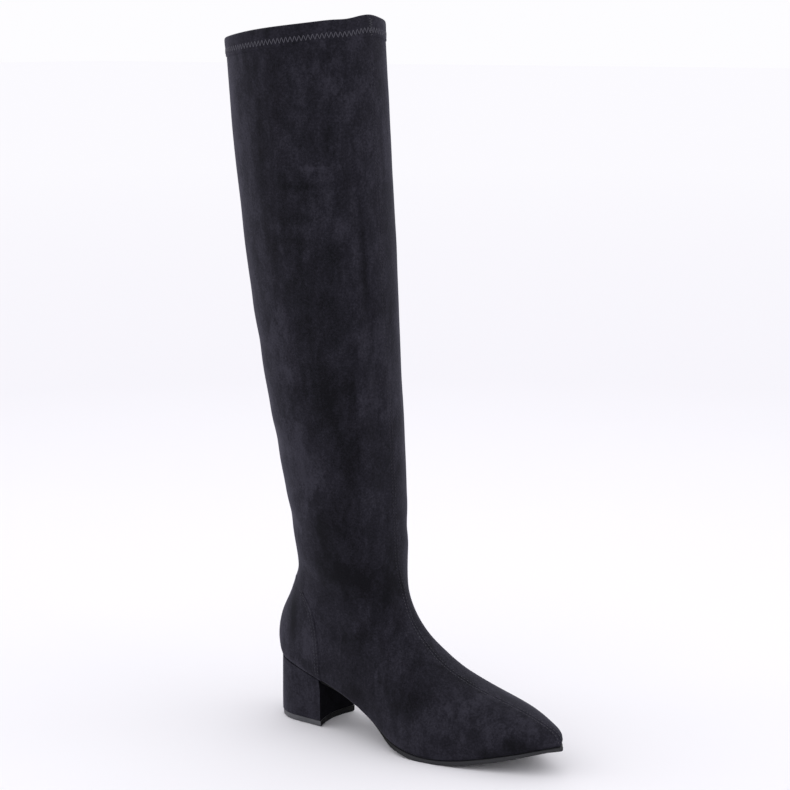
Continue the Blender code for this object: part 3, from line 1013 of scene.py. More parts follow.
@dataclass(frozen=True)
class NylonFinish:
    """Semi-matte nylon of the zip's teeth."""

    name: str = "zip_nylon"

    def build(self) -> Look:
        """Make the material.

        Returns:
            The material.
        """
        graph, shader, made = new_material(self.name)
        place = graph.place()
        cloud = graph.noise(place, 400.0, 2.0)
        colour = graph.ramp(cloud, ((0.3, (0.010, 0.010, 0.012)), (0.7, (0.020, 0.020, 0.024))))
        rough = graph.scaled(cloud, 0.2, 0.3)
        graph.feed(shader, Base_Color=colour, Roughness=rough, Specular_IOR_Level=0.5)
        return made


@dataclass(frozen=True)
class NickelFinish:
    """Polished black nickel with a faint cloudy tone."""

    name: str = "black_nickel"

    def build(self) -> Look:
        """Make the material.

        Returns:
            The material.
        """
        graph, shader, made = new_material(self.name)
        place = graph.place()
        cloud = graph.noise(place, 260.0, 3.0)
        brushed = graph.noise(graph.stretched(place, (6.0, 6.0, 1.0)), 800.0, 2.0)
        colour = graph.ramp(cloud, ((0.3, (0.075, 0.075, 0.082)), (0.7, (0.13, 0.13, 0.14))))
        rough = graph.scaled(cloud, 0.12, 0.14)
        graph.feed(shader, Base_Color=colour, Roughness=rough, Metallic=1.0,
                   Normal=graph.bump(brushed, 0.00003, 0.3))
        return made


@dataclass
class Finishes:
    """All the boot's materials, built once."""

    suede: Look = field(init=False)
    heel_suede: Look = field(init=False)
    breast_painted_shade: Look = field(init=False)
    rubber: Look = field(init=False)
    sole: Look = field(init=False)
    lining: Look = field(init=False)
    sock: Look = field(init=False)
    tape: Look = field(init=False)
    hem_thread: Look = field(init=False)
    thread: Look = field(init=False)
    dark_thread: Look = field(init=False)
    nylon: Look = field(init=False)
    nickel: Look = field(init=False)

    def __post_init__(self) -> None:
        """Build the groups and the materials."""
        nap, weave = nap_group(), weave_group()
        self.suede = SuedeFinish().build(nap)
        self.heel_suede = SuedeFinish("heel_suede", patches=0.6).build(nap)
        # The heel's breast: painted shade, darker and with little sheen or gloss.
        self.breast_painted_shade = SuedeFinish(
            "breast_painted_shade", patches=0.5, dark=(0.0010, 0.0010, 0.0014), usual=(0.0026, 0.0025, 0.0034),
            light=(0.0060, 0.0058, 0.0078), sheen=0.03, gloss=0.02,
        ).build(nap)
        self.rubber = RubberFinish().build()
        self.sole = SoleFinish().build()
        self.lining, self.sock, self.tape = (ClothFinish(*values).build(weave) for values in (
            ("lining", (0.012, 0.012, 0.014), (0.026, 0.026, 0.030), 0.0011, 0.0002),
            ("sock", (0.020, 0.020, 0.021), (0.038, 0.038, 0.040), 0.0008, 0.0001),
            ("zip_tape", (0.006, 0.006, 0.008), (0.018, 0.018, 0.022), 0.0007, 0.00015),
        ))
        self.hem_thread, self.thread, self.dark_thread = (ThreadFinish(*values).build() for values in (
            ("hem_thread", (0.055, 0.053, 0.068), (0.100, 0.097, 0.120)),
            ("thread", (0.026, 0.026, 0.033), (0.058, 0.057, 0.071)),
            ("dark_thread", (0.017, 0.0165, 0.022), (0.038, 0.037, 0.048)),
        ))
        self.nylon = NylonFinish().build()
        self.nickel = NickelFinish().build()


def dress(piece: Piece, look: Look, body: Body = Body.BOOT,
          replaces: Sequence[str] = ()) -> Piece:
    """Give a piece its material and its place in the frame.

    Args:
        piece: The finished piece.
        look: Its material.
        body: The body it rides on.
        replaces: The CAD nodes it stands for.

    Returns:
        The piece.
    """
    piece.data.materials.clear()
    piece.data.materials.append(look)
    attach(piece, body.value)
    if replaces:
        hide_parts(*replaces)
    triangles = sum(len(p.vertices) - 2 for p in piece.data.polygons)
    LOG.info("%s: %d triangles", piece.name, triangles)
    return piece


# ---------- The upper ----------


@dataclass(frozen=True)
class Fold:
    """A soft trough with a ridge on either side, along a line given by distance and height."""

    side: Side
    line: Line
    width: float
    depth: float


@dataclass
class Upper:
    """The suede skin with its hem, folds and zip slit, and the lining inside it."""

    form: BootForm
    half_columns: int = 80
    foot_step: int = 3
    leg_row: float = 2.4
    # The suede's lower edge under the foot: how far in, and how far up.
    tucks: Line = ((4.0, 0.15), (1.1, -0.05), (0.35, 0.2))
    slit_half: float = 2.9
    slit_columns: tuple[int, int] = (34, 38)
    slit_ends: Pair = (44.0, 224.0)
    slit_turns: Line = ((0.25, 0.12), (0.6, 0.05), (1.5, -0.5))
    slit_run_out: Pair = (6.0, 110.0)
    lining_depth: float = 1.9
    zip_depth: float = 1.9
    # The hem from below it over the rim to its inner edge: how far below the rim, and how far out.
    hem_profile: Line = (
        (14.9, -0.1), (14.5, 0.05), (14.25, 0.35), (13.8, 0.55), (12.6, 0.55), (11.0, 0.45), (9.6, 0.55),
        (6.5, 0.7), (4.0, 0.75), (2.0, 0.7), (0.9, 0.45), (0.25, -0.1), (0.0, -0.7), (0.3, -1.3),
        (1.2, -1.75), (4.0, -1.85), (8.0, -1.85), (12.0, -1.85), (13.2, -1.95), (13.8, -2.4),
    )
    rim_from: Pair = (500.0, 548.0)
    # Height, turn and spread of the rim's crest at the front and of the dip beside it.
    rim_crest: Triple = (1.5, 3.05, 0.23)
    rim_dip: Triple = (0.8, 2.68, 0.16)
    # How far the suede draws in above the sole and above the heel, and over what height.
    feather_tuck: Triple = (0.3, 1.3, 7.0)
    feather_lift: float = 0.75
    folds: tuple[Fold, ...] = (
        Fold(Side.OUTER, ((108.5, 455), (109.5, 415), (111.0, 375), (111.5, 338)), 4.2, 1.0),
        Fold(Side.OUTER, ((106.0, 330), (108.0, 285), (107.0, 240), (108.0, 200)), 5.0, -0.9),
        Fold(Side.OUTER, ((52.0, 437), (75.0, 424), (96.0, 420)), 8.0, 0.7),
        Fold(Side.OUTER, ((70.0, 452), (92.0, 446), (110.0, 450)), 9.0, 0.6),
        Fold(Side.OUTER, ((24.0, 238), (44.0, 226), (66.0, 222)), 10.0, 0.8),
        Fold(Side.OUTER, ((30.0, 176), (48.0, 168), (70.0, 170)), 9.0, 0.7),
        Fold(Side.OUTER, ((48.0, 132), (66.0, 122), (88.0, 118)), 8.0, 0.7),
        Fold(Side.OUTER, ((10.0, 320), (30.0, 308), (48.0, 306)), 11.0, 0.7),
        Fold(Side.INNER, ((40.0, 132), (60.0, 121), (86.0, 116)), 8.0, 0.7),
        Fold(Side.INNER, ((20.0, 300), (46.0, 288), (74.0, 290)), 11.0, 0.8),
        Fold(Side.INNER, ((22.0, 410), (50.0, 398), (80.0, 404)), 12.0, 0.8),
        Fold(Side.INNER, ((84.0, 190), (94.0, 176), (106.0, 170)), 8.0, 0.6),
    )
    slack: float = 0.7
    seam_depth: float = 0.28
    seam_fades: Pair = (90.0, 160.0)
    back_seam_from: float = 123.0
    seam_turn: float = math.pi - 0.075
    seam_columns: Triple = (1.9, 0.95, 0.32)
    toe_fill: float = 2.5
    toe_at: Pair = (228.0, 31.0)
    toe_end: Pair = (200.0, 244.0)
    tip: Pair = (232.0, 258.0)
    tip_share: float = 0.9
    ankle_fill: float = 4.2
    ankle_at: Pair = (119.5, 9.5)
    ankle_fades: Pair = (16.0, 46.0)
    skin: Piece = field(init=False)
    cloth: Surface = field(init=False)
    grid: np.ndarray = field(init=False)
    shares_all: list[float] = field(init=False)
    tuck_rows: int = field(init=False)

    def zip_line(self) -> np.ndarray:
        """Return the coefficients of the zip's distance from the heel as a curve of height."""
        coil = self.form.local(coordinates(bpy.data.objects["zip_coil"]))
        return np.polyfit(coil[:, 2], coil[:, 0], 4)

    def zip_x(self, z: np.ndarray) -> np.ndarray:
        """Return the middle of the zip at a height, both in millimetres."""
        return np.polyval(self.zip_line(), np.clip(z, *self.slit_ends))

    def shares(self) -> np.ndarray:
        """Space the rings of the skin.

        Returns:
            Their numbers from the feather line up to just under the hem.
        """
        form = self.form
        foot = np.interp(np.arange(0, form.foot_rings + 1e-6, 1 / self.foot_step),
                         np.arange(form.foot_rings + 1), form.shares[:form.foot_rings + 1])
        height = form.collar_back - form.ankle_height
        hem = self.rim_share(self.hem_profile[0][0] + 1.5)
        count = int((hem - 0.5) * 2 * height / self.leg_row)
        return np.concatenate([foot, np.linspace(0.5, hem, count + 1)[1:]])

    def rim_share(self, below: float) -> float:
        """Return the number of the ring that lies that far below the rim."""
        return 1.0 - 0.5 * below / (self.form.collar_back - self.form.ankle_height)

    def turns(self, share: float) -> np.ndarray:
        """Space a ring's points, with two columns drawn to the slit's edges.

        Args:
            share: Number of the ring.

        Returns:
            The points' turns.
        """
        count = self.half_columns
        close = np.array(self.seam_columns)
        even = np.linspace(0, self.seam_turn, count + 1)
        even[-4:-1] = self.seam_turn - close * self.seam_turn / count
        front_turn = math.tau - self.seam_turn
        ends = self.form.ring(share, np.array([0.0, math.pi]))
        back, front = ends[:, 0]
        z = float(self.form.level(share, 70.0))
        edges = self.zip_x(z) + np.array([-self.slit_half, self.slit_half])
        first, second = np.arccos(1 - 2 * (edges - back) / (front - back))
        low, high = self.slit_columns
        drawn = np.interp(np.arange(count + 1), [0, low, high, count], [0, first, second, front_turn])
        free = float(eased(z, *(self.slit_ends[1] + above for above in self.slit_run_out)))
        drawn[-4:-1] = front_turn - close * (front_turn - second) / (count - high)
        inner = drawn * (1 - free) + even * (front_turn / self.seam_turn) * free
        return np.concatenate([even, 2 * math.pi - inner[-2:0:-1]])

    def base_grid(self, shares: Sequence[float]) -> np.ndarray:
        """Return the smooth form's points in millimetres, a row for each ring."""
        return np.array([self.form.ring(share, self.turns(share)) for share in shares])

    def slack_offset(self, points: np.ndarray) -> np.ndarray:
        """Work out the loose cloth's gentle swell.

        Args:
            points: Places in millimetres.

        Returns:
            How far each moves outwards, in millimetres.
        """
        on_leg = eased(points[:, 2], 95.0, 190.0)
        under_hem = 1 - eased(points[:, 2], 500.0, 545.0)
        swell = np.array([
            noise.noise(Vector((p[0] / 62, p[1] / 62, p[2] / 95)))
            + 0.5 * noise.noise(Vector((p[0] / 27 + 7, p[1] / 27, p[2] / 34)))
            for p in points
        ])
        return swell * self.slack * (0.12 + 0.88 * on_leg) * (0.35 + 0.65 * under_hem)

    def fold_offset(self, points: np.ndarray) -> np.ndarray:
        """Work out the folds.

        Args:
            points: Places in millimetres.

        Returns:
            How far each moves outwards, in millimetres.
        """
        total = np.zeros(len(points))
        for fold in self.folds:
            line = np.array([(x, self.form.reach(x, z, fold.side), z) for x, z in fold.line], float)
            line = cubic(line, np.linspace(0, len(line) - 1, 25))
            gap = np.min(np.linalg.norm(points[:, None, :] - line[None], axis=2), axis=1)
            trough = bell(gap, 0.0, fold.width)
            ridges = bell(gap, 2.1 * fold.width, fold.width)
            total += fold.depth * (0.4 * ridges - trough)
        return total

    def fill_offset(self, points: np.ndarray) -> np.ndarray:
        """Work out how the suede stands out over the toe's ridge and above the counter.

        Args:
            points: Places in millimetres.

        Returns:
            How far each moves outwards, in millimetres.
        """
        above = self.form.above_feather(points)
        along, height = points[:, 0], points[:, 2]
        near_tip = eased(along, *self.toe_end)
        rising = eased(above, 7.0 - 5.0 * near_tip, 26.0 - 17.0 * near_tip)
        toe = bell(along, *self.toe_at) * rising
        tip = self.tip_share * eased(along, *self.tip) * eased(above, 1.0, 8.0)
        ankle = bell(height, *self.ankle_at) * (1 - eased(along, *self.ankle_fades))
        return self.toe_fill * (toe * (1 - tip) + tip) + self.ankle_fill * ankle

    def rim_wave(self, turn: np.ndarray) -> np.ndarray:
        """Work out the rim's waves.

        Args:
            turn: Turns around the rim.

        Returns:
            How far the rim stands up at each, in millimetres.
        """
        crest, dip = (height * bell(turn, *at) for height, *at in (self.rim_crest, self.rim_dip))
        fall = 1.6 * eased(turn, 3.1, 3.8) * (1 - eased(turn, 5.0, 6.28))
        return crest - dip - fall + 0.35 * np.sin(2 * turn + 0.8) + 0.2 * np.sin(5 * turn)

    def tuck_offset(self, points: np.ndarray) -> np.ndarray:
        """Work out how the suede draws in just above the sole and the heel.

        Args:
            points: Places in millimetres.

        Returns:
            How far each moves outwards, in millimetres.
        """
        usual, at_heel, height = self.feather_tuck
        above = self.form.above_feather(points)
        depth = usual + (at_heel - usual) * (1 - eased(points[:, 0], 30.0, 70.0))
        return -depth * (1 - np.clip(above / height, 0.0, 1.0)) ** 2

    def rim_turns(self) -> tuple[np.ndarray, np.ndarray]:
        """Return turns round the rim and how far the hem stands up at them."""
        turn = np.linspace(0, math.tau, 181)
        return turn, self.rim_wave(turn) * 0.9

    def cloth_at(self, x: float, z: float, side: Side) -> tuple[np.ndarray, np.ndarray]:
        """Read the whole, uncut suede.

        Args:
            x: Distance from the heel seat, in millimetres.
            z: Height in millimetres.
            side: The side of the boot.

        Returns:
            The place there in millimetres, and its outward direction.
        """
        start = self.form.world(np.array([x, side.value * FAR_ASIDE, z]))
        place, way, _, _ = self.cloth.tree.ray_cast(Vector(start), Vector((0.0, -side.value, 0.0)))
        if place is None:
            spot, way = self.cloth.nearest(self.form.world(np.array([x, side.value * 30.0, z])))
            return self.form.local(spot), way
        return self.form.local(np.array(place)), np.array(way)

    def build_skin(self, look: Look) -> Piece:
        """Model the suede skin and cut the slit.

        Args:
            look: The suede.

        Returns:
            The skin.
        """
        shares = list(self.shares())
        rim = [self.rim_share(below) for below, _ in self.hem_profile]
        base = self.base_grid(shares + rim)
        ways = grid_normals(base[:len(shares)])
        ways = np.concatenate([ways, ways[[-1] * len(rim)]])
        flat = base.reshape(-1, 3)
        push = self.slack_offset(flat) + self.fold_offset(flat)
        push = (push + self.tuck_offset(flat) + self.fill_offset(flat)).reshape(base.shape[:2])
        on_leg = eased(base[:len(shares), self.half_columns, 2], *self.seam_fades)
        push[:len(shares), self.half_columns] -= self.seam_depth * (1 - 0.8 * on_leg)
        push[base[:, 0, 2] > self.back_seam_from, 0] -= 0.6 * self.seam_depth
        for row, (_, offset) in enumerate(self.hem_profile):
            push[len(shares) + row] += offset
        grid = base + ways * push[..., None]
        turn = np.array([self.turns(share) for share in shares + rim])
        grid[..., 2] += self.rim_wave(turn) * eased(base[..., 2], *self.rim_from)
        read_to = (1 - self.form.shares[-1]) * 2 * (self.form.collar_back - self.form.ankle_height)
        for row, (below, _) in enumerate(self.hem_profile):
            grid[len(shares) + row, :, 2] += max(read_to - below, 0.0)
        inward = -ways[0] * np.array([1, 1, 0])
        tuck_rows = [grid[0] + inward * reach + np.array([0, 0, lift]) for reach, lift in self.tucks]
        grid[0, :, 2] += self.feather_lift
        grid = np.concatenate([tuck_rows, grid])
        self.tuck_rows = len(tuck_rows)
        self.grid, self.shares_all = grid, shares
        skin = grid_piece("upper_suede", self.form.world(grid), closed=True)
        self.cloth = Surface.of(skin)
        self.cut_slit(skin, len(shares))
        smooth(skin, 75.0)
        NapAndLight().press(skin, self.form)
        return dress(skin, look, replaces=("upper",))

    def cut_slit(self, skin: Piece, rows: int) -> None:
        """Open the slit for the zip and turn its edges in.

        Args:
            skin: The suede skin.
            rows: Number of rows under the hem.
        """
        count = self.half_columns
        low, high = 2 * count - self.slit_columns[1], 2 * count - self.slit_columns[0]
        grid = self.grid
        middle = grid[:, (low + high) // 2, 2]
        rows_in = np.flatnonzero((middle > self.slit_ends[0]) & (middle < self.slit_ends[1]))
        rows_in = rows_in[rows_in < rows]
        wanted = self.form.world(grid[rows_in[0]:rows_in[-1] + 1, low:high + 1].reshape(-1, 3))
        keys = {tuple(np.rint(p * 1e6).astype(int)) for p in wanted}
        points = np.rint(coordinates(skin) * 1e6).astype(int)
        inside = np.array([tuple(p) in keys for p in points])
        chosen = [bool(inside[list(p.vertices)].all()) for p in skin.data.polygons]
        with editing_some(skin, "FACE", chosen):
            bpy.ops.mesh.delete(type="FACE")
        middle_line = grid[rows_in[0]:rows_in[-1] + 1, (low + high) // 2]
        way = grid_normals(grid)[rows_in[0]:rows_in[-1] + 1, (low + high) // 2]
        for sink, aside in self.slit_turns:
            self.turn_in(skin, middle_line, way, sink, aside)

    def turn_in(self, skin: Piece, line: np.ndarray, way: np.ndarray, sink: float,
                aside: float) -> None:
        """Extrude the slit's rim one step into the boot.

        Args:
            skin: The suede skin.
            line: Points along the slit's middle, in millimetres.
            way: Outward directions there.
            sink: How far to go in, in millimetres.
            aside: How far to go towards the middle.
        """
        count = np.zeros(len(skin.data.edges), int)
        keys = {tuple(sorted(e.vertices)): e.index for e in skin.data.edges}
        for polygon in skin.data.polygons:
            for key in polygon.edge_keys:
                count[keys[tuple(sorted(key))]] += 1
        local = self.form.local(coordinates(skin))
        chosen = []
        for edge in skin.data.edges:
            point = local[edge.vertices[0]]
            near = np.linalg.norm(line - point, axis=1).min() < self.slit_half + 3.0
            chosen.append(bool(count[edge.index] == 1 and near))
        with editing_some(skin, "EDGE", chosen):
            bpy.ops.mesh.extrude_region_move()
        points = coordinates(skin)
        for i in [v.index for v in skin.data.vertices if v.select]:
            place = self.form.local(points[i])
            k = int(np.argmin(np.linalg.norm(line - place, axis=1)))
            towards = line[k] - place
            towards -= way[k] * towards.dot(way[k])
            towards /= max(np.linalg.norm(towards), 1e-6)
            points[i] = self.form.world(place - way[k] * sink + towards * aside)
        set_coordinates(skin, points)

    def build_lining(self, look: Look) -> Piece:
        """Model the lining inside the upper, deeper where it passes behind the zip.

        Args:
            look: The lining cloth.

        Returns:
            The lining.
        """
        top = self.rim_share(self.hem_profile[-1][0] - 0.8)
        shares = np.concatenate([np.linspace(0.02, 0.5, 30), np.linspace(0.5, top, 70)[1:]])
        turns = np.linspace(0, math.tau, 97)[:-1]
        grid = np.array([self.form.ring(share, turns) for share in shares])
        ways = grid_normals(grid)
        flat = grid.reshape(-1, 3)
        push = (self.slack_offset(flat) + self.fold_offset(flat)).reshape(grid.shape[:2])
        beside = np.abs(grid[..., 0] - self.zip_x(grid[..., 2]))
        inner_side = grid[..., 1] > self.form.rings[:, :, 1].mean()
        behind_zip = (1 - eased(beside, 10.0, 24.0)) * inner_side * (1 - eased(grid[..., 2], 226.0, 250.0))
        depth = self.lining_depth + self.zip_depth * behind_zip
        grid = grid + ways * (push - depth)[..., None]
        lining = grid_piece("upper_lining", self.form.world(grid), closed=True)
        smooth(lining, 60.0)
        return dress(lining, look)

    def build(self, finishes: Finishes) -> None:
        """Model the skin and the lining.

        Args:
            finishes: The boot's materials.
        """
        self.skin = self.build_skin(finishes.suede)
        self.build_lining(finishes.lining)


# ---------- Heel, sole and sock ----------


def copy_node(name: str, new_name: str) -> Piece:
    """Copy a CAD node's mesh into a new piece with its doubled points merged.

    Args:
        name: The CAD node.
        new_name: Name of the piece.

    Returns:
        The piece.
    """
    source = bpy.data.objects[name]
    piece = source.copy()
    piece.data = source.data.copy()
    piece.name = piece.data.name = new_name
    bpy.context.scene.collection.objects.link(piece)
    with editing(piece):
        bpy.ops.mesh.remove_doubles(threshold=2e-6)
    return piece


def soften(piece: Piece, width: float, angle: float, segments: int = 3) -> None:
    """Round a piece's sharp edges.

    Args:
        piece: The piece.
        width: Width of the rounding, in millimetres.
        angle: Smallest angle that counts as sharp, in degrees.
        segments: Number of steps across the rounding.
    """
    modifier = piece.modifiers.new("edges", "BEVEL")
    modifier.width = width * MM
    modifier.segments = segments
    modifier.limit_method = "ANGLE"
    modifier.angle_limit = math.radians(angle)
    modifier.harden_normals = False
    apply_all(piece)


@dataclass
class Counter:
    """The suede cover over the heel counter, with a thin turned edge."""

    upper: Upper
    # Height and distance from the heel seat, from the bottom up.
    front_edge: Line = (
        (40.0, 55.4), (62.0, 56.0), (77.0, 54.8), (84.0, 53.6), (91.0, 51.8), (98.0, 49.2), (105.0, 45.6),
        (112.0, 40.2), (118.5, 33.6), (124.0, 27.0), (128.5, 21.0),
    )
    thickness: float = 0.85
    sink: float = 0.25
    under_edge: Line = ((2.6, 0.5), (0.6, 0.0), (0.15, 0.1))
    edge_steps: tuple[float, ...] = (0.0, 0.12, 0.35, 0.75, 1.3, 2.2, 4.0)
    half_columns: int = 30
    top_share: float = 0.5235
    rows: int = 56

    def edge_turn(self, share: float, side: Side) -> float:
        """Find where a ring meets the cover's front edge.

        Args:
            share: Number of the ring.
            side: The side of the boot.

        Returns:
            The turn from the back.
        """
        turn = np.linspace(0.0, 2.2, 60)
        ring = self.upper.form.ring(share, turn if side is Side.OUTER else math.tau - turn)
        heights, fronts = np.array(self.front_edge).T
        over = ring[:, 0] - np.interp(ring[:, 2], heights, fronts)
        return float(np.interp(0.0, over, turn))

    def build(self, finishes: Finishes) -> Piece:
        """Model the cover and dress it.

        Args:
            finishes: The boot's materials.

        Returns:
            The cover.
        """
        form = self.upper.form
        shares = np.linspace(FEATHER_SHARE, self.top_share, self.rows)
        grid, cover = [], []
        for share in shares:
            outer = self.edge_turn(share, Side.OUTER)
            inner = self.edge_turn(share, Side.INNER)
            span = 62.0 * (outer + inner) / 2
            near = np.array(self.edge_steps) / max(span, 8.0)
            even = np.linspace(near[-1], 1.0, self.half_columns)[1:]
            reach = np.concatenate([near, even])
            turns = np.concatenate([-outer * (1 - reach), inner * (1 - reach[-2::-1])])
            lift = np.minimum(np.concatenate([reach, reach[-2::-1]]) * max(span, 8.0) / 1.3, 1.0)
            grid.append(form.ring(share, -turns % math.tau))
            cover.append(self.thickness * np.sqrt(1 - (1 - lift) ** 2))
        grid, cover = np.array(grid), np.array(cover)
        around = np.gradient(grid, axis=1)
        way = np.cross(np.gradient(grid, axis=0), around)
        way /= np.maximum(np.linalg.norm(way, axis=2, keepdims=True), 1e-9)
        way[..., 2] *= 0.4
        from_top = (shares[-1] - shares) / (shares[-1] - shares[0]) * self.rows
        cover = cover * np.sqrt(1 - (1 - np.minimum(from_top / 2.0, 1.0)) ** 2)[:, None]
        flat = grid.reshape(-1, 3)
        upper = self.upper
        skin_push = upper.slack_offset(flat) + upper.tuck_offset(flat) + upper.fill_offset(flat)
        skin_push = skin_push.reshape(grid.shape[:2])
        grid = grid + way * (cover - self.sink + skin_push)[..., None]
        level = way[0] * np.array([1, 1, 0])
        under = [grid[0] - level * reach + np.array([0, 0, lift]) for reach, lift in self.under_edge]
        grid[0, :, 2] += 0.35
        piece = grid_piece("counter_cover", form.world(np.concatenate([under, grid])))
        smooth(piece, 70.0)
        NapAndLight().press(piece, form)
        return dress(piece, finishes.suede, replaces=("heel_counter",))


@dataclass
class Heel:
    """The suede-covered block heel and its rubber lift."""

    form: BootForm
    cover_edge: float = 0.9
    lift_edge: float = 0.45
    # How much lighter the cover is painted, light standing in for its lit sides.
    side_painted_light: float = 0.14
    facing: float = 0.45

    def press(self, cover: Piece) -> None:
        """Lighten the nap of the whole cover a little, painted light for its sides where the lamps fall.

        Args:
            cover: The covered block.
        """
        attribute = cover.data.attributes.new("nap", "FLOAT", "POINT")
        attribute.data.foreach_set("value", [self.side_painted_light] * len(cover.data.vertices))

    def paint_breast_shade(self, piece: Piece, look: Look) -> None:
        """Give the faces that look forward a darker finish, painted shade where the breast lies in shadow.

        Args:
            piece: The covered block or the lift.
            look: The finish with the painted shade.
        """
        piece.data.materials.append(look)
        for polygon in piece.data.polygons:
            if polygon.normal.x > self.facing:
                polygon.material_index = 1

    def build(self, finishes: Finishes) -> Piece:
        """Model and dress the heel's two pieces.

        Args:
            finishes: The boot's materials.

        Returns:
            The covered block.
        """
        cover = copy_node("heel_block", "heel_cover")
        soften(cover, self.cover_edge, 40.0)
        smooth(cover, 50.0)
        self.press(cover)
        dress(cover, finishes.heel_suede, replaces=("heel_block",))
        self.paint_breast_shade(cover, finishes.breast_painted_shade)
        lift = copy_node("heel_top_piece", "heel_lift")
        soften(lift, self.lift_edge, 40.0)
        smooth(lift, 40.0)
        dress(lift, finishes.rubber, replaces=("heel_top_piece",))
        # The lift's breast takes the sole's finish, painted near-black shade at the heel.
        self.paint_breast_shade(lift, finishes.sole)
        return cover


@dataclass
class Sole:
    """The outsole with its rounded edge, and the sock inside the boot."""

    form: BootForm
    start: float = 53.0
    waist_tuck: float = 4.6
    waist_lift: float = 1.7
    toe_reach: float = 0.5
    toe_thinning: float = 0.85
    tip_round: float = 0.4
    fan_start: float = 243.0
    middle_end: float = 251.5
    tip: Pair = (240.0, 255.0)
    thins: Pair = (205.0, 252.0)
    edge_inside: Pair = (3.0, 1.7)
    waist: Pair = (96.0, 140.0)
    breast_hollow: float = 4.2
    breast_half: float = 27.0
    breast_reach: float = 9.0
    gap: float = 0.2
    columns: int = 170
    # The edge from the top round to the underside: how far out, lowered, and raised.
    edge: tuple[Triple, ...] = (
        (-3.0, 0.0, 0.0), (-0.6, 0.0, 0.0), (0.55, 0.0, 0.0), (0.82, -0.12, 0.0), (0.9, -0.4, 0.0),
        (0.9, 0.0, 0.95), (0.74, 0.0, 0.42), (0.35, 0.0, 0.1), (-0.6, 0.0, 0.0), (-3.0, 0.0, 0.0),
    )

    def build(self, finishes: Finishes) -> Piece:
        """Model the sole from the feather line, and dress it and the sock.

        Args:
            finishes: The boot's materials.

        Returns:
            The sole.
        """
        form = self.form
        cad = Surface.of(bpy.data.objects["outsole"])
        ring_x = form.ring(FEATHER_SHARE, np.linspace(0, math.pi, 400))[:, 0]
        first = float(np.interp(self.start, ring_x, np.linspace(0, math.pi, 400)))
        spread = np.linspace(-1, 1, self.columns)
        turn = math.pi + (math.pi - first) * np.sign(spread) * np.abs(spread) ** 1.5
        line = form.ring(FEATHER_SHARE, turn)
        at_tip = eased(line[:, 0], *self.tip)[:, None]
        for _ in range(10):
            line[1:-1] += at_tip[1:-1] * (line[:-2] - 2 * line[1:-1] + line[2:]) / 4
        tangent = np.gradient(line, axis=0)
        out = unit(np.stack([tangent[:, 1], -tangent[:, 0], 0 * turn], axis=1))
        line = line - out * (self.waist_tuck * (1 - eased(line[:, 0], *self.waist)))[:, None]
        middle_x = np.clip((line[:, 0] + line[::-1, 0]) / 2, self.start, self.middle_end)
        half_turn = np.linspace(0, math.pi, 300)
        sides = [form.ring(FEATHER_SHARE, turns) for turns in (half_turn, math.tau - half_turn)]
        middle_y = sum(np.interp(middle_x, side[:, 0], side[:, 1]) for side in sides) / 2
        top = line[:, 2] - self.gap
        bottom = np.array([self.under(cad, x, y) for x, y in zip(middle_x, middle_y)])
        bottom += self.toe_thinning * eased(middle_x, *self.thins)
        half = slice(0, self.columns // 2)
        along = np.minimum(middle_x, self.fan_start)
        centre = np.stack([along, np.interp(along, middle_x[half], middle_y[half]), 0 * along], axis=1)
        middle_top = np.interp(along, middle_x[half], (top + top[::-1])[half] / 2)
        middle_bottom = np.interp(along, middle_x[half], bottom[half])
        inside = out * (self.edge_inside[0] - self.edge_inside[1] * at_tip)
        longer = 1 + self.toe_reach * at_tip
        waist = self.waist_lift * (1 - eased(line[:, 0], *self.waist))

        def moved(reach: float, under: np.ndarray | float = 0.0) -> np.ndarray:
            """Return the edge line moved out by a reach, less what its underside is rounded by."""
            outwards = reach * (longer if reach > 0 else 1) - under
            return line + out * outwards if reach > -1 else line - inside

        def fanned(share: float, middle: np.ndarray, outside: np.ndarray) -> np.ndarray:
            """Return a row between the middle line and the inner edge, with its heights."""
            row = centre + (line * [1, 1, 0] - inside - centre) * share
            return np.column_stack([row[:, :2], middle + (outside - middle) * share])

        rows = [fanned(share, middle_top, top) for share in (0.0, 0.5)]
        for reach, lower, _ in self.edge[:5]:
            rows.append(np.column_stack([moved(reach)[:, :2], top + lower]))
        for reach, _, raised in self.edge[5:]:
            under = self.tip_round * at_tip * (1 - raised / self.edge[5][2])
            rounded = raised + waist * max(reach + 0.6, 0.0) / 1.5
            rows.append(np.column_stack([moved(reach, under)[:, :2], bottom + rounded]))
        rows += [fanned(share, middle_bottom, bottom) for share in (0.5, 0.0)]
        grid = np.array(rows)
        sideways = np.clip(grid[..., 1], -self.breast_half, self.breast_half) / self.breast_half
        breast = self.start - 0.8 - self.breast_hollow * (1 - sideways ** 2)
        at_breast = 1 - eased(grid[..., 0], self.start, self.start + self.breast_reach)
        grid[..., 0] += (breast - self.start) * at_breast
        sole = grid_piece("sole", form.world(grid))
        with editing(sole):
            bpy.ops.mesh.remove_doubles(threshold=2e-5)
            bpy.ops.mesh.fill_holes(sides=0)
        turn_outwards(sole)
        smooth(sole, 45.0)
        dress(sole, finishes.sole, replaces=("outsole",))
        sock = copy_node("insole", "sock_lining")
        soften(sock, 0.5, 40.0)
        smooth(sock, 40.0)
        dress(sock, finishes.sock, replaces=("insole",))
        return sole

    def under(self, cad: Surface, x: float, y: float) -> float:
        """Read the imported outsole's underside.

        Args:
            cad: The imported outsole.
            x: Distance from the heel seat, in millimetres.
            y: Sideways place, in millimetres.

        Returns:
            Its height there, in millimetres.
        """
        x = min(max(x, self.start + 1.5), 255.0)
        place = cad.hit(self.form.world(np.array([x, y, -20.0])), (0.0, 0.0, 1.0))
        return 0.0 if place is None else float(self.form.local(np.array(place))[2])


# ---------- The zip ----------


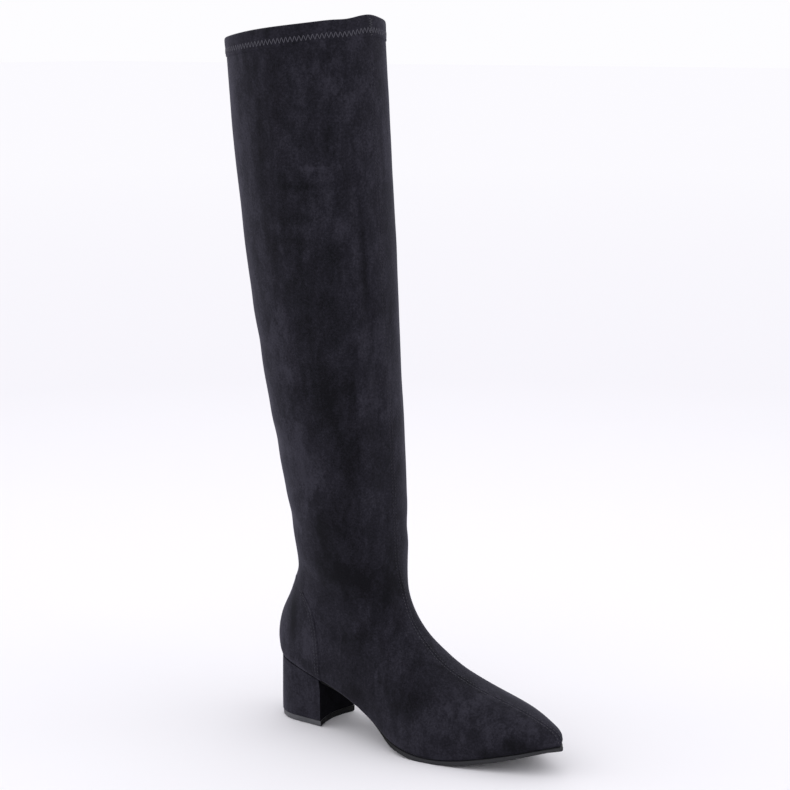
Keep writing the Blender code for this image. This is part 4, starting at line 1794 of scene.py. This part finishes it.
def joined(name: str, parts: Sequence[Piece]) -> Piece:
    """Join pieces into one.

    Args:
        name: The joined piece's name.
        parts: The pieces, which are used up.

    Returns:
        The joined piece.
    """
    deselect()
    for part in parts:
        part.select_set(True)
    bpy.context.view_layer.objects.active = parts[0]
    if len(parts) > 1:
        bpy.ops.object.join()
    piece = bpy.context.view_layer.objects.active
    piece.name = piece.data.name = name
    return piece


def copies(name: str, model: Piece, places: Sequence[Matrix]) -> Piece:
    """Copy a small model to many places and join the copies.

    Args:
        name: The joined piece's name.
        model: The model at the origin, which is used up.
        places: Where each copy goes, in metres.

    Returns:
        The joined piece.
    """
    made = []
    for place in places:
        copy = model.copy()
        copy.data = model.data.copy()
        copy.data.transform(place)
        bpy.context.scene.collection.objects.link(copy)
        made.append(copy)
    bpy.data.objects.remove(model)
    return joined(name, made)


def frame_at(place: np.ndarray, side: np.ndarray, along: np.ndarray, out: np.ndarray) -> Matrix:
    """Return the matrix that puts a model's X, Y and Z on three directions at a place in metres."""
    axes = Matrix((Vector(side), Vector(along), Vector(out))).transposed().to_4x4()
    return Matrix.Translation(Vector(place)) @ axes


def block(size: Sequence[float], centre: Sequence[float], edge: float,
          segments: int = 2) -> Piece:
    """Add a cube primitive as a block with rounded edges.

    Args:
        size: Its length, width and height in millimetres.
        centre: Its middle in millimetres.
        edge: Width of the rounding in millimetres.
        segments: Steps across the rounding.

    Returns:
        The block, in metres.
    """
    deselect()
    bpy.ops.mesh.primitive_cube_add(size=1.0)
    piece = bpy.context.object
    set_coordinates(piece, (coordinates(piece) * size + np.array(centre)) * MM)
    if edge > 0:
        with editing(piece):
            bpy.ops.mesh.bevel(offset=edge * MM, segments=segments, affect="EDGES")
    return piece


@dataclass
class Zip:
    """The coil zip on the inner side: tape, teeth, slider, and the pull that swings on it."""

    upper: Upper
    pitch: float = 1.35
    end_gap: float = 1.6
    tooth: Triple = (2.5, 0.85, 1.5)
    tooth_edge: float = 0.28
    tooth_aside: float = 0.95
    tooth_sink: float = 0.35
    # The pull's hinge line, the way down the zip and the way out of the boot, in the frame.
    across: Triple = (0.98635, 0.09289, 0.13596)
    down: Triple = (0.13278, 0.03971, -0.99035)
    out: Triple = (-0.09739, 0.99488, 0.02683)
    hinge: Triple = (-0.062413, 0.05782, 0.214211)
    flange: Triple = (0.7, 6.0, 1.0)
    bar: Triple = (5.6, 1.0, 0.9)
    arm: Triple = (1.0, 8.6, 1.0)
    neck: Triple = (4.6, 1.6, 1.0)
    tab: Triple = (6.0, 17.2, 1.1)
    rim: float = 0.75
    rim_depths: Pair = (0.22, 0.14)
    pull_lean: float = -4.0
    plate_half: float = 4.2
    plate_top: float = -7.3
    plate_end: float = 3.5
    plate_levels: Pair = (-2.65, -1.1)

    def path(self) -> tuple[np.ndarray, np.ndarray, np.ndarray]:
        """Run along the zip's middle in steps of half a pitch.

        Returns:
            The places in millimetres, and the upward and outward directions there.
        """
        low, high = self.upper.slit_ends
        heights = np.linspace(low + self.end_gap, high - self.end_gap, 400)
        x = self.upper.zip_x(heights)
        points = np.array([self.upper.cloth_at(a, z, Side.INNER) for a, z in zip(x, heights)])
        line, ways = points[:, 0], points[:, 1]
        run = run_along(line)
        at = np.arange(0, run[-1], self.pitch / 2)
        place, way = read_along(line, run, at), unit(read_along(ways, run, at))
        up = np.gradient(place, axis=0)
        up -= way * np.sum(up * way, axis=1, keepdims=True)
        return place, unit(up), way

    def build_teeth(self, look: Look) -> Piece:
        """Set the teeth in two rows that mesh in the middle.

        Args:
            look: The nylon.

        Returns:
            The teeth.
        """
        place, up, way = self.path()
        side = np.cross(up, way)
        tooth = block(self.tooth, (0.0, 0.0, 0.0), self.tooth_edge, 1)
        places = []
        for i in range(len(place)):
            way_out = 1 if i % 2 else -1
            spot = place[i] + side[i] * way_out * self.tooth_aside - way[i] * self.tooth_sink
            places.append(frame_at(self.upper.form.world(spot), side[i], up[i], way[i]))
        teeth = copies("zip_teeth", tooth, places)
        smooth(teeth, 30.0)
        return dress(teeth, look, replaces=("zip_coil",))

    def build_tape(self, look: Look) -> Piece:
        """Dress a copy of the tape.

        Args:
            look: The woven tape.

        Returns:
            The tape.
        """
        tape = copy_node("zip_tape", "zip_woven_tape")
        smooth(tape, 40.0)
        return dress(tape, look, replaces=("zip_tape",))

    def to_world(self, piece: Piece) -> None:
        """Move a model made about the hinge to its place on the boot."""
        piece.data.transform(frame_at(self.hinge, self.across, self.down, self.out))

    def plate(self) -> Piece:
        """Model the slider's plate, broad where the two rows part and narrow below.

        Returns:
            The plate, about the hinge.
        """
        middle = (self.plate_top + self.plate_end) / 2
        half_length = (self.plate_end - self.plate_top) / 2
        deselect()
        bpy.ops.mesh.primitive_circle_add(vertices=40, radius=1.0, fill_type="NGON")
        plate = bpy.context.object
        angle = np.arctan2(coordinates(plate)[:, 1], coordinates(plate)[:, 0])
        c, s = np.cos(angle), np.sin(angle)
        y = middle + half_length * np.sign(s) * np.abs(s) ** 0.62
        half = self.plate_half - 1.15 * eased(y, middle - 1.0, self.plate_end - 0.5)
        x = half * np.sign(c) * np.abs(c) ** 0.55
        low, high = self.plate_levels
        notch = 1.1 * bell(x, 0.0, 1.0) * (s < 0)
        set_coordinates(plate, np.stack([x, y + notch, 0 * x + low], axis=1) * MM)
        with editing(plate):
            bpy.ops.mesh.extrude_region_move(TRANSFORM_OT_translate={"value": (0, 0, (high - low) * MM)})
            bpy.ops.mesh.inset(thickness=self.rim * MM)
            bpy.ops.transform.translate(value=(0, 0, -self.rim_depths[0] * MM))
        turn_outwards(plate)
        soften(plate, 0.22, 35.0, 2)
        return plate

    def arch(self) -> Piece:
        """Model the bridge over the hinge.

        Returns:
            The bridge, about the hinge.
        """
        turn = np.linspace(0, math.pi, 19)
        along, height = -2.3 - 3.75 * np.cos(turn), -1.25 + 2.75 * np.sin(turn) ** 0.7
        centre = np.stack([0 * turn, along, height], axis=1)
        up = np.cross(np.array([1.0, 0.0, 0.0]), unit(np.gradient(centre, axis=0)))
        rows = []
        for a in np.linspace(0, math.tau, 13)[:-1]:
            c, s = math.cos(a), math.sin(a)
            across = 1.15 * math.copysign(abs(c) ** 0.6, c)
            thick = 0.42 * math.copysign(abs(s) ** 0.6, s)
            rows.append(centre + np.array([across, 0, 0]) + up * thick)
        piece = grid_piece("bridge", np.array(rows).transpose(1, 0, 2) * MM, closed=True)
        with editing(piece):
            bpy.ops.mesh.fill_holes(sides=0)
        turn_outwards(piece)
        return piece

    def build_slider(self, look: Look) -> Piece:
        """Model the slider.

        Args:
            look: The black nickel.

        Returns:
            The slider.
        """
        flanges = [block(self.flange, (x, -3.4, -2.9), 0.15) for x in (-3.7, 3.7)]
        slider = joined("zip_slider_metal", [self.plate(), self.arch(), *flanges])
        self.to_world(slider)
        smooth(slider, 35.0)
        return dress(slider, look, replaces=("zip_slider",))

    def build_pull(self, look: Look) -> Piece:
        """Model the pull: a yoke with a bar through the bridge, and a flat tab.

        Args:
            look: The black nickel.

        Returns:
            The pull.
        """
        bar = block(self.bar, (0.0, 0.0, 0.0), 0.3)
        arms = []
        for way in (-1, 1):
            arm = block(self.arm, (0.0, 0.0, 0.0), 0.25)
            points = coordinates(arm) / MM
            points[:, 0] += way * (2.55 - 0.085 * (points[:, 1] + 4.3))
            points[:, 1] += 3.8
            set_coordinates(arm, points * MM)
            arms.append(arm)
        tab = block(self.tab, (0.0, 16.9, 0.0), 0.0)
        with editing_some(tab, "FACE", [abs(polygon.normal.z) > 0.9 for polygon in tab.data.polygons]):
            bpy.ops.mesh.inset(thickness=self.rim * MM, use_individual=True)
            bpy.ops.transform.shrink_fatten(value=-self.rim_depths[1] * MM)
        soften(tab, 0.26, 30.0, 3)
        neck = block(self.neck, (0.0, 8.3, 0.0), 0.25)
        pull = joined("zip_pull_tab", [tab, bar, neck, *arms])
        turn_outwards(pull)
        pull.data.transform(Matrix.Rotation(math.radians(self.pull_lean), 4, "X"))
        self.to_world(pull)
        smooth(pull, 35.0)
        return dress(pull, look, Body.PULL, replaces=("zip_pull",))

    def build(self, finishes: Finishes) -> None:
        """Model and dress the zip.

        Args:
            finishes: The boot's materials.
        """
        self.build_tape(finishes.tape)
        self.build_teeth(finishes.nylon)
        self.build_slider(finishes.nickel)
        self.build_pull(finishes.nickel)


# ---------- Stitching ----------


@dataclass
class Stitching:
    """Rows of stitches, each a copy of one small stitch, sewn along lines on the suede."""

    upper: Upper
    stitch_length: float = 2.1
    pitch: float = 2.8
    thread: float = 0.55
    hem_thread: float = 0.52
    rise: float = 0.12
    zigzag_pitch: float = 3.3
    zigzag_band: Pair = (9.1, 12.7)
    # The bar starts and ends this far below the rim, with a stitch at every step.
    bar: Triple = (3.2, 14.6, 0.95)
    bar_length: float = 2.4
    seam_heights: Pair = (24.0, 533.0)
    seam_asides: Pair = (-1.5, 1.5)
    seam_length: float = 1.7
    # On the foot and on the leg.
    seam_threads: Pair = (0.46, 0.27)
    foot_top: float = 118.0
    zip_past: Pair = (4.0, 7.0)
    # The first two are the outer rows, and the row above the zip joins them.
    zip_asides: tuple[float, ...] = (-9.0, 9.5, 5.2, -5.0)
    counter_heights: Pair = (46.0, 116.0)
    counter_backs: Pair = (2.0, 4.8)

    def one_stitch(self, length: float, thickness: float) -> Piece:
        """Model one stitch along Y.

        Args:
            length: Its length in millimetres.
            thickness: Its thickness in millimetres.

        Returns:
            The stitch at the origin.
        """
        deselect()
        bpy.ops.mesh.primitive_uv_sphere_add(segments=6, ring_count=5, radius=0.5)
        stitch = bpy.context.object
        points = coordinates(stitch)[:, [0, 2, 1]]
        points[:, 1] = np.sign(points[:, 1]) * np.abs(2 * points[:, 1]) ** 0.8 / 2
        set_coordinates(stitch, points * np.array([thickness, length, thickness * 0.8]) * MM)
        turn_outwards(stitch)
        return stitch

    def row_places(self, line: Sequence[Sequence[float]]) -> list[tuple[np.ndarray, np.ndarray]]:
        """Space a row of stitches along a line.

        Args:
            line: Points in millimetres.

        Returns:
            The middle and the direction of each stitch.
        """
        line = np.array(line)
        run = run_along(line)
        places = []
        for at in np.arange(self.pitch / 2, run[-1], self.pitch):
            before, after = (read_along(line, run, at + step) for step in (-0.4, 0.4))
            along = after - before
            places.append(((before + after) / 2, along / np.linalg.norm(along)))
        return places

    def sew(self, name: str, places: Sequence[tuple[np.ndarray, np.ndarray]], length: float,
            look: Look, on: Surface | None = None, thread: float | None = None) -> Piece:
        """Lay stitches on the suede.

        Args:
            name: The row's name.
            places: The middle and direction of each stitch, in millimetres.
            length: Length of a stitch in millimetres.
            look: The thread.
            on: The surface to lie on, or None for the skin.
            thread: The thread's thickness in millimetres, or None for the usual one.

        Returns:
            The joined stitches.
        """
        surface = on or Surface.of(self.upper.skin)
        frames = []
        for middle, along in places:
            spot, out = surface.nearest(self.upper.form.world(middle))
            along = along - out * along.dot(out)
            along /= np.linalg.norm(along)
            side = np.cross(along, out)
            frames.append(frame_at(spot + out * self.rise * MM, side, along, out))
        row = copies(name, self.one_stitch(length, thread or self.thread), frames)
        smooth(row, 60.0)
        return dress(row, look)

    def hem(self, look: Look, quiet: Look) -> None:
        """Sew the zigzag round the hem and the bar down the front seam.

        Args:
            look: The zigzag's thread.
            quiet: The bar's quieter thread.
        """
        upper, form = self.upper, self.upper.form
        low, high = self.zigzag_band
        around = np.linspace(0, math.tau, 721)
        run = run_along(form.ring(upper.rim_share((low + high) / 2), around))
        count = 2 * int(run[-1] / self.zigzag_pitch)
        turns = np.interp(np.linspace(0, run[-1], count + 1), run, around)
        wave = np.interp(turns, *upper.rim_turns())
        corners = []
        for i, turn in enumerate(turns):
            corner = form.ring(upper.rim_share(low if i % 2 else high), np.array([turn]))[0]
            corners.append(corner + np.array([0, 0, wave[i]]))
        places = [((a + b) / 2, (b - a) / np.linalg.norm(b - a)) for a, b in zip(corners, corners[1:])]
        length = float(np.mean([np.linalg.norm(b - a) for a, b in zip(corners, corners[1:])]))
        self.sew("hem_zigzag", places, length * 1.02, look, thread=self.hem_thread)
        tacks = []
        for i, below in enumerate(np.arange(*self.bar)):
            turn = upper.seam_turn + (0.01 if i % 2 else -0.01)
            rise = np.array([0, 0, float(upper.rim_wave(np.array([turn]))[0])])
            middle = form.ring(upper.rim_share(below), np.array([turn]))[0] + rise
            tacks.append((middle, np.array([0.0, 1.0, 0.35 if i % 2 else -0.35])))
        self.sew("hem_bar", tacks, self.bar_length, quiet, thread=self.hem_thread)

    def front_seam(self, look: Look, quiet: Look) -> None:
        """Sew the two rows along the front seam: plain to see on the foot, quiet on the leg.

        Args:
            look: The thread on the foot.
            quiet: The thread on the leg.
        """
        upper, form = self.upper, self.upper.form
        grid = upper.grid[upper.tuck_rows:upper.tuck_rows + len(upper.shares_all)]
        front = grid[:, upper.half_columns]
        low, high = self.seam_heights
        front = front[(front[:, 2] > low) & (front[:, 2] < high)]
        run = run_along(front)
        front = read_along(front, run, np.arange(0, run[-1], 1.0))
        surface = Surface.of(upper.skin)
        outs = np.array([surface.nearest(form.world(point))[1] for point in front])
        outs = np.stack([np.convolve(outs[:, k], np.ones(11), mode="same") for k in range(3)], axis=1)
        level = unit(np.cross(outs, np.gradient(front, axis=0)))
        places = []
        for aside in self.seam_asides:
            places += self.row_places(front + level * aside)
        foot = [place for place in places if place[0][2] < self.foot_top]
        leg = [place for place in places if place[0][2] >= self.foot_top]
        on_foot, on_leg = self.seam_threads
        self.sew("front_seam_stitches", foot, self.seam_length, look, surface, thread=on_foot)
        self.sew("front_seam_leg_stitches", leg, self.seam_length, quiet, surface, thread=on_leg)

    def zip_rows(self, look: Look) -> None:
        """Sew the rows beside the zip and the bar above it.

        Args:
            look: The thread.
        """
        upper = self.upper
        low, high = upper.slit_ends
        heights = np.linspace(low - self.zip_past[0], high + self.zip_past[1], 90)
        middle = np.interp(heights, np.linspace(low, high, 60), upper.zip_x(np.linspace(low, high, 60)))
        places = []
        for aside in self.zip_asides:
            rows = [upper.cloth_at(x + aside, z, Side.INNER)[0] for x, z in zip(middle, heights)]
            places += self.row_places(rows)
        across = np.linspace(*self.zip_asides[:2], 12) + middle[-1]
        top = [upper.cloth_at(x, heights[-1], Side.INNER)[0] for x in across]
        places += self.row_places(top)
        self.sew("zip_stitches", places, self.stitch_length, look)

    def counter_rows(self, look: Look, counter: Piece) -> None:
        """Sew the two rows inside the counter's front edge.

        Args:
            look: The thread.
            counter: The counter's cover.
        """
        upper = self.upper
        heights = np.linspace(*self.counter_heights, 40)
        fronts = np.interp(heights, *np.array(Counter(upper).front_edge).T)
        places = []
        for side in Side:
            for back in self.counter_backs:
                line = [upper.cloth_at(x - back, z, side)[0] for x, z in zip(fronts, heights)]
                places += self.row_places(line)
        self.sew("counter_stitches", places, self.stitch_length, look, Surface.of(counter))

    def build(self, finishes: Finishes, counter: Piece) -> None:
        """Sew all the rows.

        Args:
            finishes: The boot's materials.
            counter: The counter's cover.
        """
        self.hem(finishes.hem_thread, finishes.thread)
        self.front_seam(finishes.thread, finishes.dark_thread)
        self.zip_rows(finishes.dark_thread)
        self.counter_rows(finishes.dark_thread, counter)


# ---------- Floor, lights and camera ----------


@dataclass
class Studio:
    """A pale seamless floor with painted light graded across it, soft lights and the camera."""

    camera_place: Triple = (0.8128, -1.1274, 0.5479)
    camera_right: Triple = (0.82313, 0.56785, 0.0)
    camera_up: Triple = (-0.10721, 0.15540, 0.98202)
    camera_back: Triple = (0.55764, -0.80833, 0.18880)
    # The floor's colour is graded as painted light: lighter near the boot, where the boot shades it, and
    # darker a little way off.
    floor_lit_near: Colour = (0.905, 0.895, 0.930)
    floor_shaded_middle: Colour = (0.822, 0.812, 0.846)
    floor_far: Colour = (0.852, 0.846, 0.866)
    surround: Colour = (0.985, 0.98, 1.0)
    floor_size: float = 60.0
    # Name, the side each shines from, width in degrees and strength.
    lamps: tuple[tuple[str, Triple, float, float], ...] = (
        ("left_lamp", (-2.2, -0.9, 1.5), 50.0, 0.45),
        ("right_lamp", (2.0, 0.6, 1.9), 50.0, 0.35),
    )
    lens: float = 85.0
    turn_to_boot: float = 1.2

    def build_floor(self) -> None:
        """Lay the floor and give it a pale material, painted lighter near the boot and darker a little way
        off.
        """
        deselect()
        bpy.ops.mesh.primitive_plane_add(size=self.floor_size, location=(0.0, 0.0, 0.0))
        floor = bpy.context.object
        floor.name = floor.data.name = "floor"
        graph, shader, made = new_material("floor")
        place = graph.place()
        reach = graph.node("ShaderNodeVectorMath", {"operation": "LENGTH"}, i0=place).outputs["Value"]
        far = graph.math("DIVIDE", reach, 8.0, clamp=True)
        paper = graph.math("MULTIPLY", graph.math("SUBTRACT", graph.noise(place, 3.0, 2.0), 0.5), 0.02)
        colour = graph.ramp(graph.math("ADD", far, paper, clamp=True),
                            ((0.06, self.floor_lit_near), (0.2, self.floor_shaded_middle), (0.8, self.floor_far)))
        graph.feed(shader, Base_Color=colour, Roughness=0.95, Specular_IOR_Level=0.0)
        floor.data.materials.append(made)

    def build_world(self) -> None:
        """Set an even pale surrounding."""
        world = bpy.data.worlds.new("studio")
        bpy.context.scene.world = world
        world.use_nodes = True
        back = world.node_tree.nodes["Background"]
        back.inputs["Color"].default_value = (*self.surround, 1.0)
        back.inputs["Strength"].default_value = 1.0

    def build_sun(self, name: str, place: Sequence[float], spread: float, strength: float) -> None:
        """Hang a wide, soft far lamp that shines towards the boot.

        Args:
            name: The lamp's name.
            place: A point on the side that it shines from, in metres.
            spread: Its width in degrees.
            strength: Its strength.
        """
        data = bpy.data.lights.new(name, "SUN")
        data.angle = math.radians(spread)
        data.energy = strength
        lamp = bpy.data.objects.new(name, data)
        bpy.context.scene.collection.objects.link(lamp)
        lamp.location = place
        lamp.rotation_euler = Vector(place).to_track_quat("Z", "Y").to_euler()

    def build_camera(self) -> None:
        """Set the camera to look down a little from the front of the outer side."""
        data = bpy.data.cameras.new("camera")
        data.lens = self.lens
        data.sensor_width = 36.0
        data.clip_start = 0.05
        camera = bpy.data.objects.new("camera", data)
        bpy.context.scene.collection.objects.link(camera)
        axes = Matrix((self.camera_right, self.camera_up, self.camera_back)).transposed()
        turn = Matrix.Rotation(math.radians(self.turn_to_boot), 3, "Z")
        camera.matrix_world = Matrix.Translation(self.camera_place) @ (turn @ axes).to_4x4()
        bpy.context.scene.camera = camera

    def build(self) -> None:
        """Set up the floor, the lights and the camera."""
        self.build_floor()
        self.build_world()
        for lamp in self.lamps:
            self.build_sun(*lamp)
        self.build_camera()
        bpy.context.scene.view_settings.view_transform = "Standard"


def main() -> None:
    """Build the boot's looks around the frame."""
    logging.basicConfig(level=logging.INFO, format="%(message)s")
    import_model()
    finishes = Finishes()
    form = BootForm()
    upper = Upper(form)
    upper.build(finishes)
    counter = Counter(upper).build(finishes)
    Heel(form).build(finishes)
    Sole(form).build(finishes)
    Zip(upper).build(finishes)
    Stitching(upper).build(finishes, counter)
    Studio().build()


if __name__ == "__main__":
    main()
